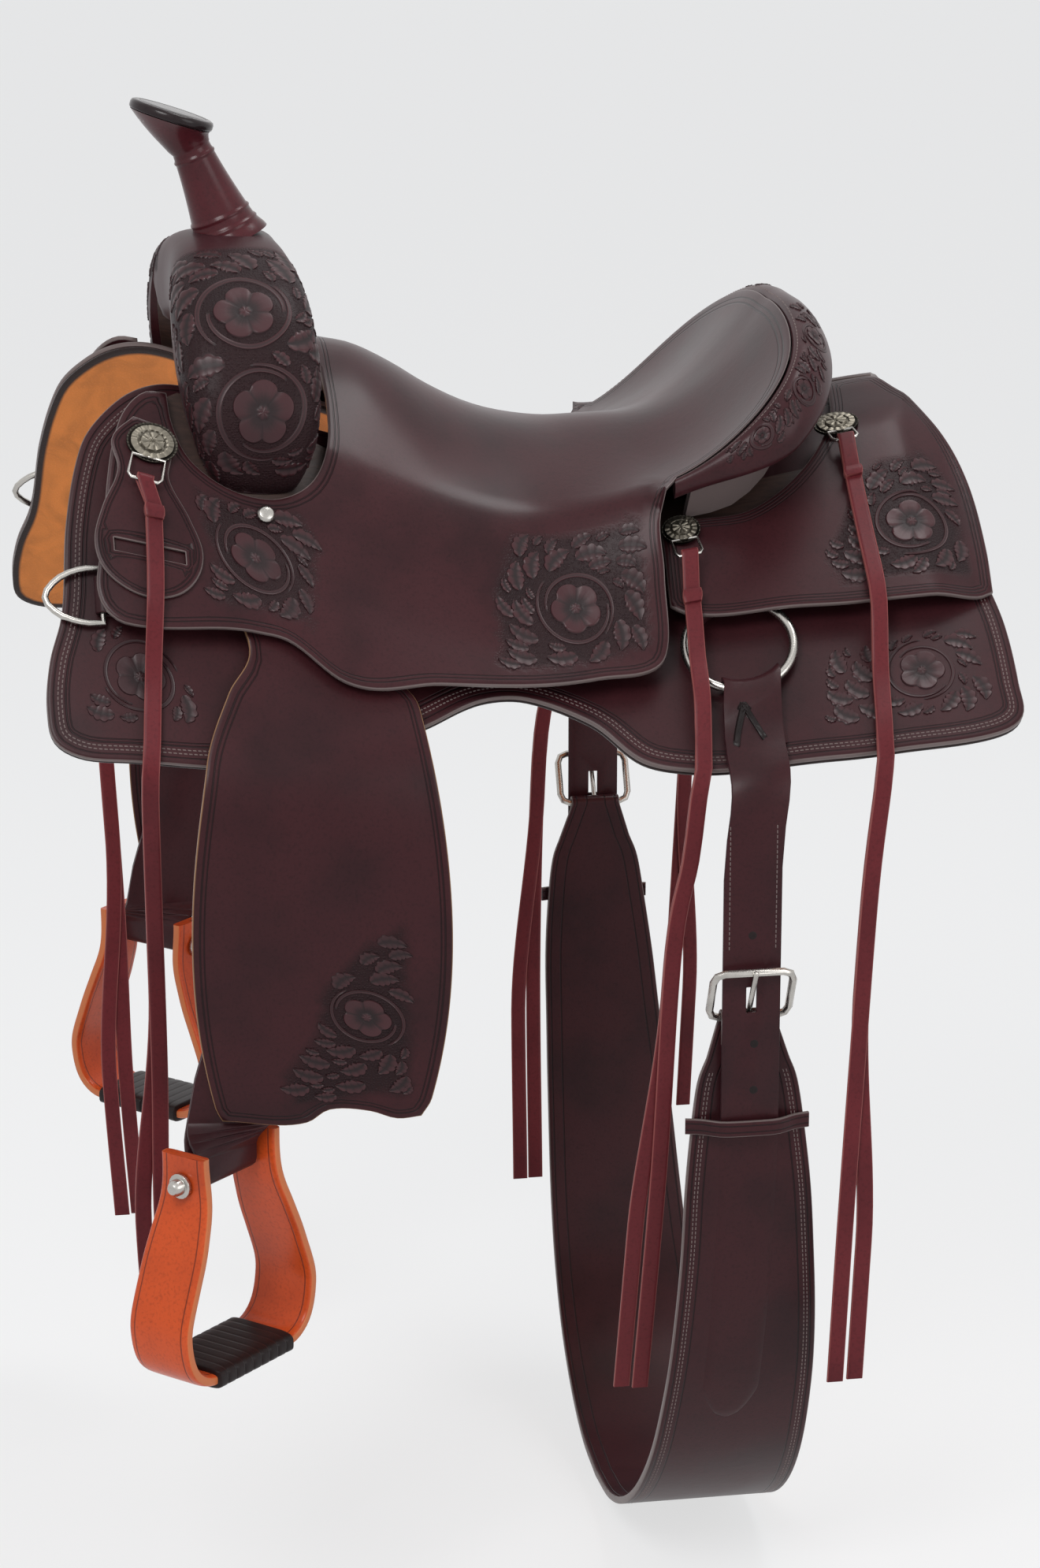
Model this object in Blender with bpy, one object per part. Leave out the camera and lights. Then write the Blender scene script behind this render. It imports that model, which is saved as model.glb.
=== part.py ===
"""Ranch saddle: tree, leather covers, rigging, fenders, stirrups, flank cinch and saddle strings.

Metres, +Z up. The horn points to -X and the near (left) side is -Y. The origin is on the centre line, midway
along the tree, at the height where the bars rest on the horse's back.

Most leather lies on two ruled panels that lean away from a ridge. A place there is (x, s, lift): s is the
distance down the side from the ridge, positive on the near side and negative on the far side, and lift is the
height above the panel along its normal.
"""

import math

import bmesh
import bpy
import numpy as np
from mathutils import Matrix, Vector
from mathutils.geometry import delaunay_2d_cdt

# Side panels, at stations along the saddle
STATIONS = (-0.40, -0.30, -0.20, -0.10, 0.0, 0.10, 0.20, 0.30, 0.40)
RIDGE_HEIGHTS = (0.222, 0.215, 0.165, 0.102, 0.060, 0.055, 0.073, 0.088, 0.088)
SIDE_SLOPES = (59.0, 58.0, 54.0, 48.0, 43.0, 40.5, 40.0, 40.5, 42.0)
RIDGE_ROUNDING = 0.04

# Leather thicknesses and the clearance between layers
LAYER_GAP = 0.0008
LINING = 0.0025
SKIRT = 0.005
SEAT_LEATHER = 0.0045
JOCKEY = 0.004
FENDER = 0.005
KEEPER = 0.0035
BAR = 0.0112
BAR_GAP = 0.0018
GROUND_SEAT = 0.005
STRING_WIDTH = 0.0125
STRING = 0.0025
BILLET_WIDTH = 0.0435
BILLET = 0.0035
RIGGING = 0.0022
STIRRUP_LEATHER = 0.0035
STIRRUP_LEATHER_WIDTH = 0.062
HOLDER = 0.0025
CINCH = 0.006

# Heights of the layers above the panel
SKIRT_FLOOR = LINING + LAYER_GAP
SKIRT_TOP = SKIRT_FLOOR + SKIRT
BAR_FLOOR = SKIRT_TOP + BAR_GAP
BAR_TOP = BAR_FLOOR + BAR
JOCKEY_FLOOR = 0.0255
FENDER_FLOOR = 0.0135
REAR_JOCKEY_FLOOR = 0.0245

# Triangulation of the leather sheets
GRID_X = 0.052
GRID_S = 0.041
EDGE_STEP = 0.038
LEAST_AREA = 1e-8

# Seat and cantle
DISH_START = 0.088
DISH_LENGTH = 0.1186
DISH_HALF_WIDTH = 0.1265
RIM_SQUARENESS = 2.5
SEAT_STATIONS = (-0.20, -0.148, -0.12, -0.09, -0.06, -0.03, 0.0, 0.03, 0.06, 0.088)
SEAT_HEIGHTS = (0.162, 0.149, 0.143, 0.128, 0.109, 0.094, 0.085, 0.081, 0.082, 0.083)
CROWN_STATIONS = (-0.20, -0.15, -0.10, -0.05, 0.0, 0.05, 0.088)
CROWN_LIFTS = (0.031, 0.036, 0.042, 0.047, 0.053, 0.066, 0.080)
RIM_TOP = 0.0965
RIM_BULGE = 0.030
ROLL_REACH = 0.28
ROLL_END_SHARE = 0.3
ROLL_THICKNESS = 0.010
ROLL_DROP = 0.018

# Horn and fork
HORN_FOOT = (-0.216, 0.0, 0.236)
HORN_TOP = (-0.2455, 0.0, 0.308)
HORN_CAP_RADIUS = 0.0325
HORN_CAP_TILT = 18.0
HORN_WRAP = 0.004
HORN_SEAT_GAP = 0.0011
FORK_COVER = 0.004

# Fender, stirrup leather and stirrup
FENDER_PIVOT_X = -0.225
FENDER_PIVOT_S = 0.2535
FENDER_NECK = 0.030
FENDER_PLANE = 0.283
FENDER_BEND = 0.004
STIRRUP_TURN = 45.0
BOLT_PLACE = (-0.260, -0.283, -0.416)
BOLT_RADIUS = 0.004
STIRRUP_BAND = 0.009
STIRRUP_DEPTH = 0.055
STIRRUP_TOP_HALF = 0.041
STIRRUP_TREAD_HALF = 0.072
STIRRUP_HEIGHT = 0.147
TREAD_WRAP = 0.003

# Rear rigging and flank cinch
RING_X = 0.141
RING_S = 0.240
RING_RADIUS = 0.0405
RING_WIRE = 0.0035
RING_LIFT = 0.0165
BUCKLE_X = 0.131
BUCKLE_HEIGHT = -0.298
BUCKLE_WIDTH = 0.060
BUCKLE_LENGTH = 0.044
BUCKLE_WIRE = 0.003
BUCKLE_TILT = 26.0
BILLET_PLANE = 0.306

# Breast collar dee
DEE_X = -0.330
DEE_S = 0.305
DEE_HALF_HEIGHT = 0.021
DEE_REACH = 0.041
DEE_WIRE = 0.0025
DEE_LIFT = 0.0145

SIDES = (("left", 1), ("right", -1))

for old in list(bpy.data.objects):
    bpy.data.objects.remove(old, do_unlink=True)


def smooth_value(x, stations, values):
    """A cubic curve through the values, level with its neighbours' slope at each station."""
    stations = np.asarray(stations, float)
    values = np.asarray(values, float)
    x = min(max(x, stations[0]), stations[-1])
    slopes = np.gradient(values, stations)
    i = int(np.clip(np.searchsorted(stations, x) - 1, 0, len(stations) - 2))
    step = stations[i + 1] - stations[i]
    t = (x - stations[i]) / step
    start = (2 * t**3 - 3 * t**2 + 1) * values[i] + (t**3 - 2 * t**2 + t) * step * slopes[i]
    end = (3 * t**2 - 2 * t**3) * values[i + 1] + (t**3 - t**2) * step * slopes[i + 1]
    return float(start + end)


def ease(t):
    """0 to 1 with level ends."""
    t = min(max(t, 0.0), 1.0)
    return t * t * (3 - 2 * t)


def side_frame(x, s):
    """The panel's point at lift 0, and its unit normal and down-slope direction."""
    side = -1.0 if s >= 0 else 1.0
    slope = math.radians(smooth_value(x, STATIONS, SIDE_SLOPES))
    steps = np.linspace(0.0, abs(s), 17)
    angles = slope * (1 - np.exp(-steps / RIDGE_ROUNDING))
    width = abs(s) / 16
    run = width * (np.cos(angles).sum() - 0.5 * (math.cos(angles[0]) + math.cos(angles[-1])))
    fall = width * (np.sin(angles).sum() - 0.5 * (math.sin(angles[0]) + math.sin(angles[-1])))
    end = float(angles[-1])
    point = Vector((x, side * run, smooth_value(x, STATIONS, RIDGE_HEIGHTS) - fall))
    normal = Vector((0.0, side * math.sin(end), math.cos(end)))
    down = Vector((0.0, side * math.cos(end), -math.sin(end)))
    return point, normal, down


def on_side(x, s, lift):
    """A point above the side panel."""
    point, normal, _ = side_frame(x, s)
    return point + lift * normal


def surface_frame(x, s, value):
    """A layer's point, its normal, and its directions along x and down the slope."""
    step = 0.008
    point = on_side(x, s, height(value, x, s))
    ends = [on_side(x + a, s, height(value, x + a, s)) for a in (-step, step)]
    along = (ends[1] - ends[0]).normalized()
    ends = [on_side(x, s + a, height(value, x, s + a)) for a in (-step, step)]
    down = (ends[1] - ends[0]).normalized()
    if down.z > 0:
        down = -down
    down = (down - down.dot(along) * along).normalized()
    normal = along.cross(down).normalized()
    if normal.z < 0:
        normal = -normal
    return point, normal, along, down


def material(name, colour, roughness=0.5, metallic=0.0):
    made = bpy.data.materials.new(name)
    made.use_nodes = True
    shader = made.node_tree.nodes["Principled BSDF"]
    shader.inputs["Base Color"].default_value = (*colour, 1.0)
    shader.inputs["Roughness"].default_value = roughness
    shader.inputs["Metallic"].default_value = metallic
    return made


def dark_leather(name):
    return material(name, (0.07, 0.025, 0.03), 0.45)


def string_leather(name):
    return material(name, (0.20, 0.035, 0.045), 0.5)


def steel(name):
    return material(name, (0.70, 0.69, 0.66), 0.25, 1.0)


def silver(name):
    return material(name, (0.42, 0.40, 0.35), 0.4, 1.0)


def add_object(name, bm, made_of, smooth=None):
    """Turns the mesh into a named object with its own material, facing out."""
    bmesh.ops.recalc_face_normals(bm, faces=bm.faces)
    mesh = bpy.data.meshes.new(name)
    bm.to_mesh(mesh)
    bm.free()
    if smooth is not None:
        mesh.shade_smooth()
        mesh.set_sharp_from_angle(angle=math.radians(smooth))
    mesh.materials.append(made_of(name))
    made = bpy.data.objects.new(name, mesh)
    bpy.context.scene.collection.objects.link(made)
    return made


def set_origin(made, place):
    """Moves the object's origin to its joint's axis, with its shape where it was."""
    place = Vector(place)
    made.data.transform(Matrix.Translation(-place))
    made.location = place


def densified(outline, step):
    """The closed outline with no side longer than the step."""
    found = []
    for i, (x0, s0) in enumerate(outline):
        x1, s1 = outline[(i + 1) % len(outline)]
        count = max(1, math.ceil(math.hypot(x1 - x0, s1 - s0) / step))
        found += [(x0 + (x1 - x0) * k / count, s0 + (s1 - s0) * k / count) for k in range(count)]
    return found


def inside(point, outline):
    """Whether the point lies in the closed outline."""
    x, s = point
    found = False
    for i, (x0, s0) in enumerate(outline):
        x1, s1 = outline[i - 1]
        if (s0 > s) != (s1 > s) and x < (x1 - x0) * (s - s0) / (s1 - s0) + x0:
            found = not found
    return found


def grid_rows(lowest, highest):
    """Rows of the shared grid, closer together over the ridge's round top."""
    near = [0.0, 0.014, 0.03, 0.048, 0.07]
    rows = near + [near[-1] + GRID_S * k for k in range(1, 16)]
    rows = sorted({-row for row in rows} | set(rows))
    return [(i, row) for i, row in enumerate(rows) if lowest < row < highest]


def flat_area(a, b, c):
    return 0.5 * abs((b[0] - a[0]) * (c[1] - a[1]) - (c[0] - a[0]) * (b[1] - a[1]))


def flat_mesh(outline, step, holes=()):
    """Triangles that fill an outline, with points of the shared grid inside it."""
    rim = densified(outline, step)
    rings = [rim] + [list(hole) for hole in holes]
    points = [point for ring in rings for point in ring]
    edges = []
    start = 0
    for ring in rings:
        edges += [(start + i, start + (i + 1) % len(ring)) for i in range(len(ring))]
        start += len(ring)
    border = np.array(points)
    lows = border.min(axis=0)
    highs = border.max(axis=0)
    for number, s in grid_rows(lows[1], highs[1]):
        shift = 0.5 * GRID_X if number % 2 else 0.0
        first = math.floor(lows[0] / GRID_X) - 1
        last = math.ceil(highs[0] / GRID_X) + 1
        for k in range(first, last + 1):
            point = (k * GRID_X + shift, s)
            if np.hypot(*(border - point).T).min() < 0.3 * GRID_S:
                continue
            if inside(point, rim) and not any(inside(point, hole) for hole in holes):
                points.append(point)
    found = delaunay_2d_cdt([Vector(p) for p in points], edges, [], 0, 1e-7)
    spots = [tuple(v) for v in found[0]]
    kept = []
    for face in found[2]:
        corners = [spots[i] for i in face]
        if flat_area(*corners) < LEAST_AREA:
            continue
        middle = np.mean(corners, axis=0)
        if inside(middle, rim) and not any(inside(middle, hole) for hole in holes):
            kept.append(tuple(face))
    return spots, kept


def height(value, x, s):
    return value(x, s) if callable(value) else value


def sheet(name, outline, floor, top, made_of, place=on_side, step=EDGE_STEP, holes=()):
    """A closed leather sheet between two heights above a surface."""
    spots, faces = flat_mesh(outline, step, holes)
    bm = bmesh.new()
    lower = [bm.verts.new(place(x, s, height(floor, x, s))) for x, s in spots]
    upper = [bm.verts.new(place(x, s, height(top, x, s))) for x, s in spots]
    used = {}
    for face in faces:
        bm.faces.new([upper[i] for i in face])
        bm.faces.new([lower[i] for i in reversed(face)])
        for i in range(3):
            edge = (face[i], face[(i + 1) % 3])
            used[edge] = True
    for a, b in used:
        if (b, a) not in used:
            bm.faces.new((lower[a], lower[b], upper[b], upper[a]))
    loose = [v for v in bm.verts if not v.link_faces]
    bmesh.ops.delete(bm, geom=loose, context="VERTS")
    return add_object(name, bm, made_of)


def mirrored(outline):
    """The far side's copy of a near outline."""
    return [(x, -s) for x, s in reversed(outline)]


def ring_sweep(name, sections, made_of, closed=False, inner=None, smooth=40):
    """Joins rings of points end to end. With inner rings it is a tube, else a bar with flat caps."""
    bm = bmesh.new()
    outer = [[bm.verts.new(p) for p in ring] for ring in sections]
    bores = [[bm.verts.new(p) for p in ring] for ring in inner] if inner else None
    count = len(outer[0])
    for rings in filter(None, (outer, bores)):
        pairs = list(zip(rings, rings[1:] + rings[:1])) if closed else list(zip(rings, rings[1:]))
        for one, two in pairs:
            for i in range(count):
                j = (i + 1) % count
                bm.faces.new((one[i], one[j], two[j], two[i]))
    if not closed:
        for end in (0, -1):
            if bores:
                for i in range(count):
                    j = (i + 1) % count
                    bm.faces.new((outer[end][i], outer[end][j], bores[end][j], bores[end][i]))
            else:
                bm.faces.new(outer[end])
    return add_object(name, bm, made_of, smooth)


def directions(path, closed=False):
    """Unit directions along a path, at its points."""
    count = len(path)
    found = []
    for i in range(count):
        before = path[(i - 1) % count] if closed else path[max(i - 1, 0)]
        after = path[(i + 1) % count] if closed else path[min(i + 1, count - 1)]
        found.append((after - before).normalized())
    return found


def strap_rings(path, across, width, thickness):
    """Rectangles across a path. Across and width may hold a value for each point."""
    many = isinstance(across, list)
    rings = []
    for i, (point, along) in enumerate(zip(path, directions(path))):
        side = (across[i] if many else Vector(across)).normalized()
        up = side.cross(along).normalized()
        half = 0.5 * (width[i] if isinstance(width, list) else width)
        rise = 0.5 * (thickness[i] if isinstance(thickness, list) else thickness)
        corners = ((-half, -rise), (half, -rise), (half, rise), (-half, rise))
        rings.append([point + a * side + b * up for a, b in corners])
    return rings


def strap(name, path, across, width, thickness, made_of, bore=None):
    """A flat strap along a path. A bore of (width, thickness) makes it a flat sleeve."""
    path = [Vector(p) for p in path]
    inner = strap_rings(path, across, *bore) if bore else None
    return ring_sweep(name, strap_rings(path, across, width, thickness), made_of, inner=inner, smooth=30)


def wire(name, path, radius, made_of, sides=8, closed=False, up=None):
    """A round wire along a path."""
    path = [Vector(p) for p in path]
    rings = []
    for point, along in zip(path, directions(path, closed)):
        first = Vector(up) if up is not None else Vector((0, 0, 1))
        first = (first - first.dot(along) * along).normalized()
        second = along.cross(first)
        turn = [math.tau * (k + 0.5) / sides for k in range(sides)]
        rings.append([point + radius * (math.cos(t) * first + math.sin(t) * second) for t in turn])
    return ring_sweep(name, rings, made_of, closed=closed, smooth=60)


def turned(name, profile, foot, axis, made_of, sides=24, ovalness=1.0, across=None):
    """A closed profile of (radius, height) turned about an axis that starts at the foot."""
    foot = Vector(foot)
    axis = Vector(axis).normalized()
    first = Vector(across) if across is not None else Vector((0, 1, 0))
    first = (first - first.dot(axis) * axis).normalized()
    second = axis.cross(first)
    bm = bmesh.new()
    rings = []
    for radius, rise in profile:
        middle = foot + rise * axis
        if radius < 1e-9:
            rings.append([bm.verts.new(middle)])
            continue
        turns = [math.tau * k / sides for k in range(sides)]
        ring = [middle + radius * (math.cos(t) * first + ovalness * math.sin(t) * second) for t in turns]
        rings.append([bm.verts.new(p) for p in ring])
    hollow = all(len(ring) > 1 for ring in rings)
    pairs = list(zip(rings, rings[1:] + rings[:1])) if hollow else list(zip(rings, rings[1:]))
    for one, two in pairs:
        for i in range(sides):
            j = (i + 1) % sides
            face = [one[i % len(one)], one[j % len(one)], two[j % len(two)], two[i % len(two)]]
            unique = list(dict.fromkeys(face))
            if len(unique) > 2:
                bm.faces.new(unique)
    return add_object(name, bm, made_of, 35)


def hide_cutter(cutter):
    cutter.hide_render = True
    cutter.display_type = "WIRE"


def cut(made, cutter):
    """Cuts the cutter out of the object."""
    hide_cutter(cutter)
    boolean = made.modifiers.new("cut " + cutter.name, "BOOLEAN")
    boolean.operation = "DIFFERENCE"
    boolean.object = cutter
    return boolean


def join(made, other):
    """Joins a second solid to the object."""
    hide_cutter(other)
    boolean = made.modifiers.new("join " + other.name, "BOOLEAN")
    boolean.operation = "UNION"
    boolean.object = other
    return boolean


def curve_points(points, step):
    """Points about a step apart on a smooth curve through the given ones."""
    points = [Vector(p) for p in points]
    padded = [2 * points[0] - points[1], *points, 2 * points[-1] - points[-2]]
    found = []
    for a, b, c, d in zip(padded, padded[1:], padded[2:], padded[3:]):
        count = max(1, round((c - b).length / step))
        for k in range(count):
            t = k / count
            bend = (2 * a - 5 * b + 4 * c - d) * t * t + (3 * b - 3 * c + d - a) * t**3
            found.append(0.5 * (2 * b + (c - a) * t + bend))
    return found + [points[-1]]


# The seat's outer surface and the cantle's rim


def rim_reach(x, s):
    """0 at the seat's middle line and 1 at the cantle's rim, growing on past it."""
    behind = max(0.0, (x - DISH_START) / DISH_LENGTH)
    power = RIM_SQUARENESS
    return (behind**power + abs(s / DISH_HALF_WIDTH) ** power) ** (1 / power)


def rim_point(turn, reach=1.0):
    """x and s on the rim at an angle from the centre line, or at another reach."""
    power = 2 / RIM_SQUARENESS
    x = DISH_START + DISH_LENGTH * reach * abs(math.cos(turn)) ** power
    return x, math.copysign(DISH_HALF_WIDTH * reach * abs(math.sin(turn)) ** power, turn)


def rim_turn(x, s):
    """The angle from the centre line at which a place lies."""
    power = RIM_SQUARENESS / 2
    behind = max(0.0, (x - DISH_START) / DISH_LENGTH)
    return math.atan2(abs(s / DISH_HALF_WIDTH) ** power, behind**power)


def rim_lift(x, s):
    """The rim's height above the panel, at the place on the rim that is nearest."""
    turn = rim_turn(x, s)
    return CROWN_LIFTS[-1] + (RIM_TOP - CROWN_LIFTS[-1]) * math.cos(turn) + RIM_BULGE * math.sin(2 * turn)


def seat_lift(x, s):
    """The seat's outer surface above the panel."""
    ridge = smooth_value(x, STATIONS, RIDGE_HEIGHTS)
    middle = smooth_value(x, SEAT_STATIONS, SEAT_HEIGHTS) - ridge
    crown = smooth_value(x, CROWN_STATIONS, CROWN_LIFTS)
    reach = rim_reach(x, s)
    power = 1.4
    if x > 0:
        power += 0.8 * ease(x / DISH_START)
    if x > DISH_START:
        middle = SEAT_HEIGHTS[-1] - smooth_value(DISH_START, STATIONS, RIDGE_HEIGHTS)
        crown = rim_lift(x, s)
        return middle + (crown - middle) * reach**power
    if reach <= 1.0:
        return middle + (crown - middle) * reach**power
    low = JOCKEY_FLOOR + SEAT_LEATHER
    return crown + (low - crown) * ease((reach - 1.0) / 1.0)


def seat_floor(x, s):
    return seat_lift(x, s) - SEAT_LEATHER


EAR_PLACE = (0.110, 0.146)
EAR_SPREAD = 0.06
EAR_RISE = 0.014


def rear_jockey_floor(x, s):
    """The rear jockey's underside, which drops past the bars and over the ridge."""
    past = ease((x - 0.285) / 0.05)
    over = 1.0 - ease((abs(s) - 0.02) / 0.06)
    ear = ease(1 - math.hypot(x - EAR_PLACE[0], abs(s) - EAR_PLACE[1]) / EAR_SPREAD)
    return REAR_JOCKEY_FLOOR - max(0.0145 * past, 0.009 * over) + EAR_RISE * ear


# Near-side outlines, as (x, s) points

SKIRT_OUTLINE = [
    (-0.268, 0.122), (-0.297, 0.138), (-0.322, 0.162), (-0.335, 0.180), (-0.343, 0.202),
    (-0.352, 0.245), (-0.360, 0.319), (-0.370, 0.352), (-0.374, 0.388), (-0.370, 0.412),
    (-0.354, 0.424), (-0.326, 0.428), (-0.264, 0.420), (-0.172, 0.375), (-0.100, 0.317),
    (-0.050, 0.277), (-0.020, 0.269), (0.024, 0.285), (0.058, 0.322), (0.087, 0.334),
    (0.161, 0.347), (0.236, 0.357), (0.322, 0.354), (0.341, 0.340), (0.344, 0.310),
    (0.344, 0.255), (0.336, 0.200), (0.334, 0.120), (0.322, 0.072), (0.298, 0.026),
    (0.288, 0.004), (0.200, 0.004), (0.080, 0.016), (0.000, 0.040), (-0.100, 0.075),
    (-0.190, 0.108),
]

BAR_OUTLINE = [
    (-0.285, 0.150), (-0.280, 0.190), (-0.250, 0.212), (-0.150, 0.212), (-0.080, 0.190),
    (0.020, 0.176), (0.150, 0.172), (0.240, 0.168), (0.272, 0.150), (0.275, 0.115),
    (0.255, 0.096), (0.100, 0.098), (-0.020, 0.104), (-0.120, 0.116), (-0.200, 0.124),
    (-0.265, 0.134),
]

REAR_JOCKEY_OUTLINE = [
    (0.0935, 0.201), (0.104, 0.209), (0.180, 0.225), (0.239, 0.235), (0.325, 0.236),
    (0.339, 0.230), (0.342, 0.189), (0.340, 0.120), (0.329, 0.072), (0.303, 0.025),
    (0.294, 0.003), (0.256, 0.003), (0.242, 0.060), (0.214, 0.100), (0.176, 0.126),
    (0.130, 0.133), (0.094, 0.134),
]

SEAT_FRONT = [
    (-0.150, 0.0), (-0.151, 0.045), (-0.151, 0.085), (-0.155, 0.124), (-0.168, 0.160),
    (-0.186, 0.182), (-0.205, 0.194), (-0.236, 0.199), (-0.260, 0.189), (-0.271, 0.167),
    (-0.274, 0.142), (-0.289, 0.146), (-0.305, 0.163), (-0.315, 0.187), (-0.321, 0.215),
    (-0.326, 0.250), (-0.331, 0.280), (-0.334, 0.304), (-0.329, 0.320), (-0.316, 0.330),
    (-0.219, 0.306), (-0.199, 0.303), (-0.158, 0.318), (-0.088, 0.289), (0.031, 0.261),
    (0.074, 0.256), (0.083, 0.246), (0.087, 0.190), (0.0875, 0.150),
]

KEEPER_OUTLINE = [
    (-0.300, 0.170), (-0.317, 0.190), (-0.314, 0.212), (-0.327, 0.243), (-0.334, 0.268),
    (-0.330, 0.288), (-0.316, 0.303), (-0.298, 0.309), (-0.278, 0.303), (-0.262, 0.285),
    (-0.256, 0.262), (-0.264, 0.238), (-0.277, 0.212), (-0.274, 0.190), (-0.284, 0.172),
]


def half_turn_points(reach, first, last, count):
    return [rim_point(math.radians(first + (last - first) * k / count), reach) for k in range(count + 1)]


# Skirts, linings, bars and ground seat

for side, sign in SIDES:
    outline = SKIRT_OUTLINE if sign > 0 else mirrored(SKIRT_OUTLINE)
    sheet(f"lining_{side}", outline, 0.0, LINING, lambda n: material(n, (0.62, 0.24, 0.06), 0.9))
    sheet(f"skirt_{side}", outline, SKIRT_FLOOR, SKIRT_TOP, dark_leather)
    outline = BAR_OUTLINE if sign > 0 else mirrored(BAR_OUTLINE)
    sheet(f"tree_bar_{side}", outline, BAR_FLOOR, BAR_TOP, lambda n: material(n, (0.55, 0.40, 0.22), 0.6))
    outline = REAR_JOCKEY_OUTLINE if sign > 0 else mirrored(REAR_JOCKEY_OUTLINE)
    sheet(
        f"rear_jockey_{side}", outline, rear_jockey_floor,
        lambda x, s: rear_jockey_floor(x, s) + JOCKEY, dark_leather,
    )

GROUND_REACH = 0.66
GROUND_FRONT = -0.142
GROUND_CLEARANCE = 0.0036


def ground_top(x, s):
    return seat_floor(x, s) - GROUND_CLEARANCE


def ground_floor(x, s):
    return min(ground_top(x, s) - GROUND_SEAT, BAR_TOP + 0.0016)


ground_half = [(GROUND_FRONT, 0.0), (GROUND_FRONT, 0.060), (-0.120, 0.120), (0.0, 0.120)]
ground_half += [(DISH_START * 0.6, 0.106)]
ground_half += half_turn_points(GROUND_REACH, 84.0, 0.0, 8)
ground_half += [(x, -s) for x, s in reversed(ground_half[1:-1])]
sheet("ground_seat", ground_half, ground_floor, ground_top, lambda n: material(n, (0.45, 0.28, 0.14), 0.8))

seat_half = list(SEAT_FRONT) + half_turn_points(1.0, 90.0, 0.0, 12)
seat_outline = seat_half + [(x, -s) for x, s in reversed(seat_half[1:-1])]
sheet("seat_and_side_jockeys", seat_outline, seat_floor, seat_lift, dark_leather)


# Cantle: a board that stands on the bars, a leather back and a rolled leather rim

BOARD_INNER = 0.76
BOARD_OUTER = 0.96
BOARD_CLEARANCE = 0.0022
BOARD_TURN = 66.0
BACK_INNER = 1.012
BACK_OUTER = 1.05
BACK_TURN = 82.0
ROLL_INNER = 1.01
ROLL_TURN = 87.0


def roll_reach(turn):
    """How far the roll reaches past the rim. It narrows toward its ends."""
    return ROLL_REACH * (1 - (1 - ROLL_END_SHARE) * ease((abs(math.degrees(turn)) - 50) / 37))


def roll_top(x, s):
    """The roll rises a little from the rim, then falls away behind it."""
    share = roll_reach(rim_turn(x, s)) / ROLL_REACH
    out = (rim_reach(x, s) - 1.0) / (ROLL_REACH * share)
    return rim_lift(x, s) + 0.002 + share * (0.010 * out - (ROLL_DROP + 0.012) * out**2)


def arc_band(inner, outer, turn, count):
    """The outline between two reaches round the cantle. The outer one may vary with the angle."""
    turns = [math.radians(turn * (2 * k / count - 1)) for k in range(count + 1)]
    near = [rim_point(a, inner) for a in turns]
    far = [rim_point(a, outer(a) if callable(outer) else outer) for a in reversed(turns)]
    return near + far


def wood(name):
    return material(name, (0.55, 0.40, 0.22), 0.6)


sheet(
    "cantle_board", arc_band(BOARD_INNER, BOARD_OUTER, BOARD_TURN, 14),
    BAR_TOP + LAYER_GAP, lambda x, s: seat_floor(x, s) - BOARD_CLEARANCE, wood,
)
sheet(
    "cantle_back", arc_band(BACK_INNER, BACK_OUTER, BACK_TURN, 18),
    lambda x, s: rear_jockey_floor(x, s) + JOCKEY + LAYER_GAP,
    lambda x, s: roll_top(x, s) - ROLL_THICKNESS - 0.005, dark_leather,
)
sheet(
    "cantle_roll", arc_band(ROLL_INNER, lambda turn: 1.0 + roll_reach(turn), ROLL_TURN, 20),
    lambda x, s: roll_top(x, s) - ROLL_THICKNESS, roll_top, dark_leather, step=0.04,
)


# Fork and its cover: an oval bar bent over the gullet, standing on the bars

FORK_SECTIONS = (
    # half-width y, height z, centre x, half-thickness, half-length in x
    (0.124, 0.058, -0.206, 0.018, 0.024),
    (0.136, 0.082, -0.209, 0.027, 0.039),
    (0.138, 0.112, -0.211, 0.033, 0.048),
    (0.120, 0.148, -0.213, 0.036, 0.052),
    (0.088, 0.176, -0.215, 0.037, 0.051),
    (0.045, 0.192, -0.216, 0.036, 0.047),
    (0.0, 0.197, -0.217, 0.036, 0.044),
)
FORK_SIDES = 14
FORK_ROOM = 0.0009


def fork_rings(inset):
    """Oval rings from the near foot over the top to the far foot."""
    half = [(-y, z, x, thick, long) for y, z, x, thick, long in FORK_SECTIONS]
    whole = half + [(-y, z, x, thick, long) for y, z, x, thick, long in reversed(half[:-1])]
    middles = [Vector((x, y, z)) for y, z, x, _, _ in whole]
    rings = []
    for middle, along, (_, _, _, thick, long) in zip(middles, directions(middles), whole):
        forward = (Vector((1, 0, 0)) - along.x * along).normalized()
        out = along.cross(forward)
        ring = []
        for k in range(FORK_SIDES):
            turn = math.tau * (k + 0.5) / FORK_SIDES
            square = 0.85 * (abs(math.cos(turn)) ** 4 + abs(math.sin(turn)) ** 4) ** -0.25 + 0.15
            ring.append(
                middle
                + (long - inset) * square * math.cos(turn) * forward
                + (thick - inset) * square * math.sin(turn) * out
            )
        rings.append(ring)
    return rings


fork_floor = BAR_TOP + LAYER_GAP
fork_cover = ring_sweep("fork_cover", fork_rings(0.0), dark_leather, inner=fork_rings(FORK_COVER))
fork = ring_sweep("fork", fork_rings(FORK_COVER + FORK_ROOM), wood)
for side, sign in SIDES:
    foot_box = [(-0.30, 0.02), (-0.30, 0.26), (-0.12, 0.26), (-0.12, 0.02)]
    outline = foot_box if sign > 0 else mirrored(foot_box)
    under_fork = sheet(f"below_fork_{side}", outline, -0.05, fork_floor, wood)
    cut(fork_cover, under_fork)
    cut(fork, under_fork)


# Horn: a post with a cap plate, a wrapped neck and a leather cap

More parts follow.
